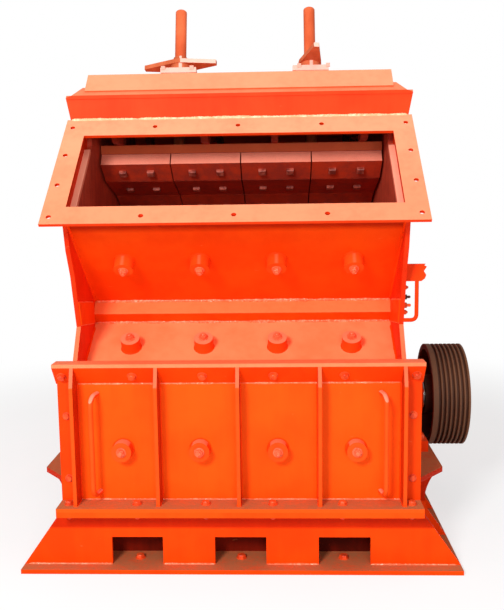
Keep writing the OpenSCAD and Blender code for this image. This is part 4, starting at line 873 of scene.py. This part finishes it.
end_ring = annulus(0.084, 0.119, END_RING_T)
for s, side_name in ((-1, "left"), (1, "right")):
    ring = end_ring.copies(frames_at([(s * end_x, rotor_y, rotor_z)], (s, 0, 0)))
    piece("bearing_end_ring_" + side_name, ring, housing_paint)
nipple = turned([(0, -0.004, 0), (0.009, -0.004, 6), (0.009, 0.010, 6), (0.005, 0.012, 0),
                 (0.005, 0.020, 0), (0.0065, 0.024, 0), (0.004, 0.029, 0), (0, 0.029, 0)], 18)
nipple_z = high("bearing_housings")[2] - 0.001
nipple_places = [(s * bearing_x, rotor_y, nipple_z) for s in (-1, 1)]
piece("grease_nipples", nipple.copies(frames_at(nipple_places, (0, 0, 1))), dark_bolt_steel)

# Pulley: screws of its taper bush
hub_x = high("rotor_shaft")[0]
bush = round_the_shaft(hub_x, 0.083, np.array([0.3, 2.4, 4.5]))
bush_screw = hex_bolt(0.022, 0.010)
piece("pulley_bush_screws", spun(bush_screw, bush, (1, 0, 0), 40), dark_bolt_steel, "rotor")

# ---- Weld beads ---------------------------------------------------------------------------------------

X = np.array([1.0, 0.0, 0.0])
Y = np.array([0.0, 1.0, 0.0])
Z = np.array([0.0, 0.0, 1.0])
pale_lines, lines = [], []


def line_across(into, side, one, other, half=None, size=0.008, seed=0, xs=None):
    """Bead along X over one point of a side view, between two faces given by their side-view ways."""
    a, b = xs if xs is not None else (-half, half)
    into.append(bead((a, *side), (b, *side), solid(one), solid(other), size, seed=seed))


line_across(lines, bar_high, -way(45), HIGH_U, INNER, 0.009, 1)
line_across(lines, bar_low, way(135), -LOW_U, INNER, 0.009, 2)
line_across(lines, high_top, -FLANGE_U, -HIGH_U, INNER, 0.008, 3)
line_across(pale_lines, upright_foot, -FLANGE_U, way(90), high("feed_flange")[0] - 0.02, 0.006, 4)
line_across(lines, (cover_y, cover_low), way(180), way(90), 0.800, 0.004, 5)
for start, end, s, out in corner_welds:
    lines.append(bead(start, end, (-s, 0, 0), solid(out), 0.005, seed=60))
line_across(lines, sloping_foot, way(-90), SLOPING_U, rib_end - 0.010, 0.004, 6)
end_plate_y = low("base_end_plates")[1]
plate_z = high("base_plate")[2]
cutout_edges = np.array([-0.98, *(x + s * 0.1175 for x in anchor_xs for s in (-1, 1)), 0.98]).reshape(-1, 2)
for index, (a, b) in enumerate(cutout_edges):
    for sign in (1, -1):
        one = way(180) if sign > 0 else way(0)
        line_across(lines, (sign * end_plate_y, plate_z), one, way(90), size=0.005, seed=7 + index, xs=(a, b))
rib_xs = np.array([-rib_end, -0.36, 0.0, 0.36, rib_end])
rib_lines = []
for x in rib_xs:
    for side in (-1, 1):
        foot = np.array([x + side * 0.008, cover_y, cover_low])
        rib_lines.append(bead(foot, foot + (0, 0, sloping_foot[1] - cover_low), -Y, side * X, 0.005, seed=30))
        rib_foot = foot - (0, cover_y - rib_front - 0.002, 0)
        rib_lines.append(bead(rib_foot, foot - (0, 0.004, 0), Z, side * X, 0.004, seed=31))
wall_ends = ((low_foot, low_top - 0.03 * LOW_U, left_of(LOW_U)),
             (bar_high + 0.01 * HIGH_U, high_top, left_of(HIGH_U)))
for side in (-1, 1):
    for start, end, out in wall_ends:
        start, end = (side * INNER, *start), (side * INNER, *end)
        rib_lines.append(bead(start, end, -side * X, solid(out), 0.007, seed=40))
for row, (boss_way, middles) in enumerate(zip(boss_ways, boss_rows)):
    feet = middles - np.asarray(boss_way) * BOSS_HEIGHT
    rib_lines.append(ring_bead(BOSS_RADIUS, 0.005, seed=50 + row).copies(frames_at(feet, boss_way)))
piece("housing_welds", joined(lines), weld_paint, sharp=80)
piece("cover_rib_welds", joined(rib_lines), cover_bar_paint, sharp=80)
piece("top_bar_weld", joined(pale_lines), pale_weld, sharp=80)

# ---- Camera, floor and light ------------------------------------------------------------------------

scene = bpy.context.scene
yaw, pitch, roll = 0.0369, 0.1314, 0.0135
level_right = np.array([math.cos(yaw), math.sin(yaw), 0.0])
level_ahead = np.array([-math.sin(yaw), math.cos(yaw), 0.0])
ahead = level_ahead * math.cos(pitch) - Z * math.sin(pitch)
upward = level_ahead * math.sin(pitch) + Z * math.cos(pitch)
right = level_right * math.cos(roll) - upward * math.sin(roll)
camera_up = level_right * math.sin(roll) + upward * math.cos(roll)
camera = bpy.data.objects.new("camera", bpy.data.cameras.new("camera"))
camera.data.lens, camera.data.sensor_width = 46.78, 36.0
camera.data.dof.use_dof = False
camera_turn = Matrix(np.stack([right, camera_up, -ahead], -1).tolist()).to_quaternion()
camera.matrix_world = Matrix.LocRotScale(Vector((0.1939, -4.4795, 1.6732)), camera_turn, None)
scene.collection.objects.link(camera)
scene.camera = camera


def pale_floor():
    """Pale floor that keeps the shadow near the object and turns into the white backdrop further out."""
    f = Finish("pale_floor")
    lamp_path = f.add("ShaderNodeLightPath", out="Is Camera Ray")
    far = f.add("ShaderNodeVectorMath", {"operation": "LENGTH"}, {0: f.place}, out="Value").step(2.2, 4.6)
    speck = f.noise(0.4, 3.0, 0.5)
    ground = f.add("ShaderNodeBsdfDiffuse", {},
        {"Color": f.mix(speck, (0.90, 0.90, 0.90), (0.94, 0.94, 0.94)), "Roughness": 0.5})
    white = f.add("ShaderNodeEmission", {}, {"Color": (1.0, 1.0, 1.0), "Strength": 1.0})
    share = lamp_path * (far * 0.36 + 0.64)
    return f.show(f.add("ShaderNodeMixShader", {}, {0: share, 1: ground, 2: white}))


radii = np.concatenate([np.linspace(0.0, 6.0, 25)[1:], np.geomspace(7.0, 60.0, 14)])
a = np.arange(96) * 2 * np.pi / 96
circle = np.stack([np.cos(a), np.sin(a), 0 * a], -1)
floor_points = np.concatenate([[[0, 0, 0]], (radii[:, None, None] * circle[None]).reshape(-1, 3)])
k, rr = np.arange(96), np.arange(len(radii) - 1)[:, None] * 96 + 1
floor_quads = np.stack([rr + k, rr + 96 + k, rr + 96 + (k + 1) % 96, rr + (k + 1) % 96], -1)
floor_mesh = bpy.data.meshes.new("floor")
floor_mesh.from_pydata((floor_points - (0, 0, 0.0008)).tolist(), [], floor_quads.reshape(-1, 4).tolist()
                       + np.stack([0 * k, 1 + k, 1 + (k + 1) % 96], -1).tolist())
floor_mesh.materials.append(pale_floor())
floor = bpy.data.objects.new("floor", floor_mesh)
scene.collection.objects.link(floor)


def white_room():
    """Soft light from all round, and a backdrop that is plain white where it is looked at."""
    f = Finish("white_room", world=True)
    soft = f.add("ShaderNodeBackground", {}, {"Color": (1.0, 0.99, 0.98), "Strength": 0.42})
    seen = f.add("ShaderNodeBackground", {}, {"Color": (1.0, 1.0, 1.0), "Strength": 1.0})
    looked_at = f.add("ShaderNodeLightPath", out="Is Camera Ray")
    return f.show(f.add("ShaderNodeMixShader", {}, {0: looked_at, 1: soft, 2: seen}))


scene.world = white_room()


def soft_lamp(name, place, target, size, watts):
    lamp = bpy.data.objects.new(name, bpy.data.lights.new(name, "AREA"))
    lamp.data.shape, lamp.data.size, lamp.data.energy = "DISK", size, watts
    lamp.location = place
    lamp.rotation_euler = (Vector(target) - Vector(place)).to_track_quat("-Z", "Y").to_euler()
    scene.collection.objects.link(lamp)


soft_lamp("key_lamp", (-2.0, -6.4, 3.9), (0, -0.6, 1.2), 1.5, 300)
soft_lamp("fill_lamp", (1.2, -7.0, 2.2), (0, -0.6, 1.2), 2.0, 84)
soft_lamp("top_lamp", (0.5, -1.0, 6.5), (0, 0, 1.0), 3.5, 40)

scene.view_settings.view_transform = "Standard"
